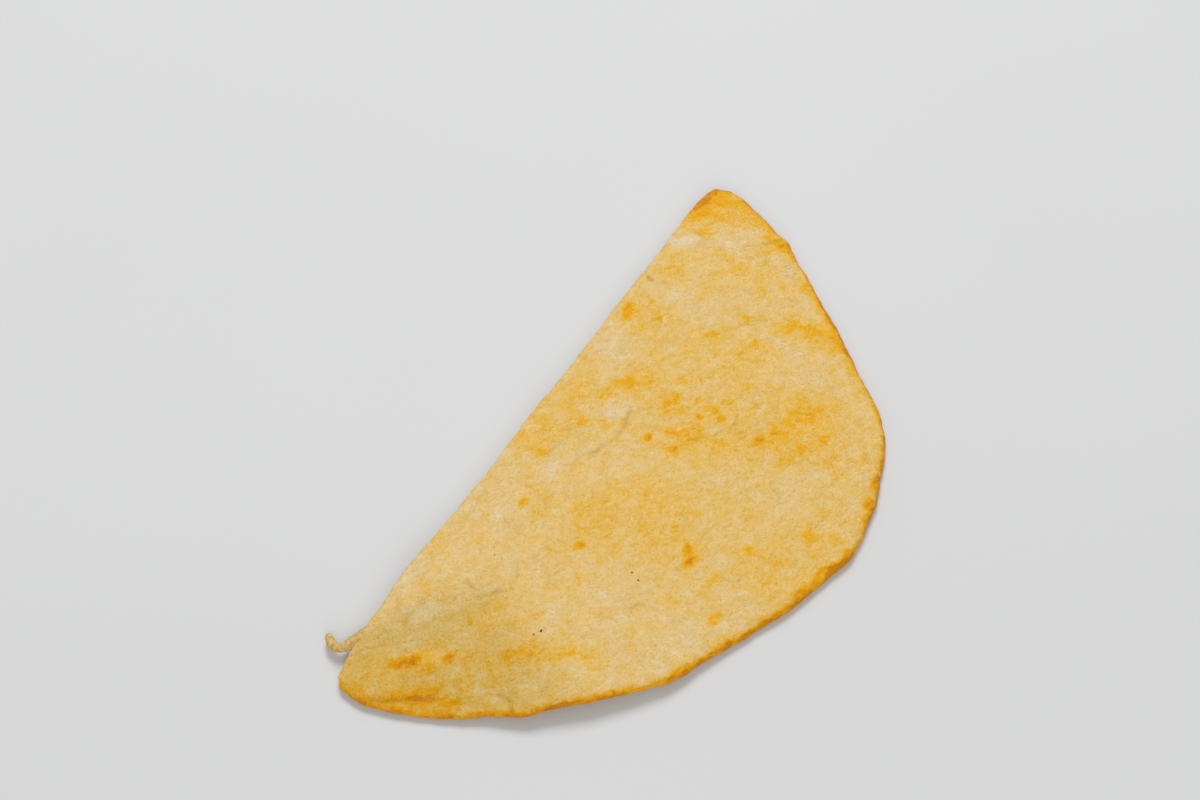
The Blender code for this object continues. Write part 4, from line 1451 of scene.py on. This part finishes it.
        flattened = {0: place, 1: (1.0, 1.0, self.cell_flatness)}
        cut_place = add_node(tree, VECTOR_MATH, flattened, operation="MULTIPLY")
        pits, (floor, wall) = 0.0, self.cell_wall
        for size, share in (("Cell Size", 1.0), ("Small Cell Size", self.small_cell_share)):
            scale = add_node(tree, MATH, {0: 1.0, 1: given[size]}, operation="DIVIDE")
            spread = {"Vector": cut_place, "Scale": scale}
            cells = add_node(tree, "ShaderNodeTexVoronoi", spread, out="Distance")
            deeper = {"Value": cells, "From Min": floor, "From Max": wall, "To Min": -share, "To Max": 0.0}
            pit = add_node(tree, MAP_RANGE, deeper, interpolation_type="SMOOTHSTEP")
            pits = add_node(tree, MATH, {0: pit, 1: pits}, operation="ADD")
        depth = add_node(tree, MATH, {0: pits, 1: given["Cell Depth"]}, operation="MULTIPLY")

        rise = add_node(tree, MATH, {0: depth, 1: open_cut, 2: skin}, operation="MULTIPLY_ADD")
        normal = add_node(tree, "GeometryNodeInputNormal")
        offset = add_node(tree, VECTOR_MATH, {0: normal, "Scale": rise}, operation="SCALE")
        # The bread rests on the surface at height zero, so no part of the relief dips under it
        lowest = (-1.0, -1.0, self.clearance * MM)
        rested = add_node(tree, VECTOR_MATH, {0: place, 1: offset}, operation="ADD")
        rested = add_node(tree, VECTOR_MATH, {0: rested, 1: lowest}, operation="MAXIMUM")
        moves = {"Geometry": given["Geometry"], "Position": rested}
        moved = add_node(tree, "GeometryNodeSetPosition", moves)
        end_tree(tree, moved, given["Finish"])
        return tree


@dataclass
class TornShred:
    """The torn strip of dough that curls away from the cut at its left end."""

    finish: MattGrain
    # The strip's path, its half width by the share of its run, and its thickness for its width
    path: Table = (
        (-104.0, -2.0, 3.3), (-108.5, -0.6, 3.4), (-112.0, 0.8, 3.3), (-114.9, 1.6, 3.2), (-116.4, 3.4, 3.1),
        (-116.2, 5.8, 2.9), (-115.0, 7.8, 2.6), (-113.7, 9.2, 2.3),
    )
    path_steps: int = 9
    widths: Table = ((0.0, 0.12, 0.4, 0.6, 0.8, 0.92, 1.0), (1.6, 1.85, 1.65, 1.55, 1.5, 1.35, 0.8))
    flatness: float = 0.8
    sides: int = 20
    lump_height: float = 0.7
    lump_size: float = 1.9

    def build(self, shift: Vector) -> bpy.types.Object:
        """Builds the strip along its path.

        Args:
            shift: how far the plan places lie from their place in the frame.

        Returns:
            The strip, as a plain mesh.
        """
        curve = smooth_curve(self.path, self.path_steps, False)
        run = np.linspace(0.0, 1.0, len(curve))
        mesh = bpy.data.meshes.new("torn_shred")
        pairs = [(i, i + 1) for i in range(len(curve) - 1)]
        mesh.from_pydata((curve * MM + np.array(shift)).tolist(), pairs, [])
        add_values(mesh, "half_width", np.interp(run, *self.widths) * MM)
        values = {
            "Flatness": self.flatness, "Sides": self.sides, "Lump Height": self.lump_height * MM,
            "Lump Size": self.lump_size * MM, "Finish": self.finish.made(),
        }
        return grown(placed("torn_shred", mesh), self._tree(values), values)

    @staticmethod
    def _tree(values: dict[str, Any]) -> Tree:
        """A flattened strip with lumps, as wide along its path as each point says.

        Args:
            values: what the tree's named inputs will be set to.

        Returns:
            The Geometry Nodes tree.
        """
        tree, given = geometry_tree("torn_strip", values)
        half_width = stored(tree, "half_width")
        curve = add_node(tree, "GeometryNodeMeshToCurve", {"Mesh": given["Geometry"]})
        ring = {"Resolution": given["Sides"], "Radius": 1.0}
        circle = add_node(tree, "GeometryNodeCurvePrimitiveCircle", ring)
        squeeze = add_node(tree, "ShaderNodeCombineXYZ", {0: 1.0, 1: given["Flatness"], 2: 1.0})
        profile = add_node(tree, "GeometryNodeTransform", {"Geometry": circle, "Scale": squeeze})
        strip = add_node(tree, "GeometryNodeCurveToMesh", {
            "Curve": curve, "Profile Curve": profile, "Scale": half_width, "Fill Caps": True,
        })
        scale = add_node(tree, MATH, {0: 1.0, 1: given["Lump Size"]}, operation="DIVIDE")
        lumpy = roughened(tree, strip, {"Scale": scale, "Detail": 2.0}, given["Lump Height"])
        end_tree(tree, lumpy, given["Finish"])
        return tree


@dataclass
class CharredSpecks:
    """Specks of burnt flour on the upper face."""

    finish: MattGrain
    # Plan place and half size of each speck
    specks: Table = (
        (-80.3, -49.0, 0.62), (-82.5, -47.7, 0.42), (-46.0, -61.5, 0.42), (-47.3, -64.6, 0.48),
        (-65.0, -81.5, 0.38), (-87.8, -39.2, 0.36), (-63.7, -20.8, 0.32), (-32.0, -9.5, 0.34),
        (-37.0, -8.4, 0.30),
    )
    narrowness: float = 0.75
    flatness: float = 0.4
    sunk: float = 0.1
    # How far a speck's surface is moved, and how many lumps there are in a metre
    unevenness: float = 0.45
    lumps: float = 2200.0
    most_turn: float = 6.28
    ball_subdivisions: int = 3
    seed: int = 5

    def build(self, shift: Vector, bread: bpy.types.Object) -> bpy.types.Object:
        """Builds the specks on the bread.

        Args:
            shift: how far the plan places lie from their place in the frame.
            bread: the finished sheet that they lie on.

        Returns:
            The specks, as one plain mesh.
        """
        corners = [point.co for point in bread.data.vertices]
        surface = BVHTree.FromPolygons(corners, [tuple(face.vertices) for face in bread.data.polygons])
        above, down = 0.1, Vector((0.0, 0.0, -1.0))
        places = []
        for x, y, _ in self.specks:
            start = Vector((x * MM + shift.x, y * MM + shift.y, above))
            places.append(surface.ray_cast(start, down)[0] + down * self.sunk * MM)
        mesh = bpy.data.meshes.new("charred_specks")
        mesh.from_pydata([tuple(place) for place in places], [], [])
        add_values(mesh, "half_size", np.array([speck[2] for speck in self.specks]) * MM)
        values = {
            "Narrowness": self.narrowness, "Flatness": self.flatness, "Unevenness": self.unevenness * MM,
            "Lumps": self.lumps, "Seed": self.seed, "Finish": self.finish.made(),
        }
        return grown(placed("charred_specks", mesh), self._tree(values), values)

    def _tree(self, values: dict[str, Any]) -> Tree:
        """Uneven flat grains, one on each point.

        Args:
            values: what the tree's named inputs will be set to.

        Returns:
            The Geometry Nodes tree.
        """
        tree, given = geometry_tree("burnt_grains", values)
        half_size = stored(tree, "half_size")
        sphere = {"Radius": 1.0, "Subdivisions": self.ball_subdivisions}
        ball = add_node(tree, "GeometryNodeMeshIcoSphere", sphere)
        turns = {"Max": (0.0, 0.0, self.most_turn), "Seed": given["Seed"]}
        turn = add_node(tree, "FunctionNodeRandomValue", turns, data_type="FLOAT_VECTOR")
        flat = add_node(tree, "ShaderNodeCombineXYZ", {0: 1.0, 1: given["Narrowness"], 2: given["Flatness"]})
        size = add_node(tree, VECTOR_MATH, {0: flat, "Scale": half_size}, operation="SCALE")
        grains = add_node(tree, "GeometryNodeInstanceOnPoints", {
            "Points": given["Geometry"], "Instance": ball, "Rotation": turn, "Scale": size,
        })
        grains = add_node(tree, "GeometryNodeRealizeInstances", {"Geometry": grains})
        uneven = roughened(tree, grains, {"Scale": given["Lumps"], "Detail": 1.0}, given["Unevenness"])
        end_tree(tree, uneven, given["Finish"])
        return tree


@dataclass(frozen=True)
class SoftBox:
    """A large soft light that faces the bread."""

    name: str
    place: tuple[float, float, float]
    size: float
    power: float

    def build(self) -> None:
        """Builds the light."""
        light = bpy.data.lights.new(self.name, "AREA")
        light.shape = "SQUARE"
        light.size = self.size
        light.energy = self.power
        lamp = bpy.data.objects.new(self.name, light)
        lamp.location = self.place
        lamp.rotation_euler = (-Vector(self.place)).to_track_quat("-Z", "Y").to_euler()
        bpy.context.scene.collection.objects.link(lamp)


@dataclass
class Studio:
    """Pale floor, soft light from behind and above, and the camera at the picture's angle."""

    floor_finish: MattGrain
    floor_half: float = 2.5
    camera_place: tuple = (-0.3655, -0.1953, 0.6009)
    camera_right: tuple = (0.52222, -0.85281, 0.0)
    camera_up: tuple = (0.68284, 0.41814, 0.59907)
    camera_back: tuple = (-0.51090, -0.31284, 0.80070)
    lens: float = 66.0
    sensor: float = 36.0
    nearest_seen: float = 0.01
    world_tone: str = "F4F5F7"
    world_strength: float = 0.438
    boxes: tuple[SoftBox, ...] = (
        SoftBox("key_box", (1.12, 0.77, 1.6), 0.92, 26.5),
        SoftBox("fill_box", (-1.5, -1.1, 1.35), 1.8, 23.0),
    )

    def build(self) -> None:
        """Builds the floor, the lights and the camera."""
        self._floor()
        self._lights()
        self._camera()
        bpy.context.scene.view_settings.view_transform = "Standard"

    def _floor(self) -> None:
        """Lays the floor under the bread."""
        half = self.floor_half
        mesh = bpy.data.meshes.new("studio_floor")
        corners = [(-half, -half, 0.0), (half, -half, 0.0), (half, half, 0.0), (-half, half, 0.0)]
        mesh.from_pydata(corners, [], [(0, 1, 2, 3)])
        mesh.materials.append(self.floor_finish.made())
        placed("studio_floor", mesh)

    def _lights(self) -> None:
        """Adds the sky and the soft boxes."""
        world = bpy.data.worlds.new("studio_light")
        world.use_nodes = True
        background = world.node_tree.nodes["Background"]
        background.inputs["Color"].default_value = linear(self.world_tone)
        background.inputs["Strength"].default_value = self.world_strength
        bpy.context.scene.world = world
        for box in self.boxes:
            box.build()

    def _camera(self) -> None:
        """Sets up the camera."""
        camera = bpy.data.cameras.new("camera")
        camera.lens = self.lens
        camera.sensor_width = self.sensor
        camera.clip_start = self.nearest_seen
        holder = bpy.data.objects.new("camera", camera)
        turned = Matrix((self.camera_right, self.camera_up, self.camera_back)).transposed()
        holder.matrix_world = Matrix.Translation(Vector(self.camera_place)) @ turned.to_4x4()
        bpy.context.scene.collection.objects.link(holder)
        bpy.context.scene.camera = holder


def main() -> None:
    """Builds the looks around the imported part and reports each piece."""
    logging.basicConfig(level=logging.INFO, format="%(name)s: %(message)s")
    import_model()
    Studio(TABLE_PAPER).build()

    sheet = BreadSheet(PlanOutline(), DoughForm(), BakeMap(), BakedSkin())
    bread = sheet.build()
    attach(bread, BODY)
    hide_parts(CAD_NODE)
    shred = TornShred(TORN_DOUGH).build(sheet.shift)
    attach(shred, BODY)
    specks = CharredSpecks(CHARRED_FLOUR).build(sheet.shift, bread)
    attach(specks, BODY)
    for piece in (bread, shred, specks):
        LOG.info("%s: %d faces", piece.name, len(piece.data.polygons))


if __name__ == "__main__":
    main()
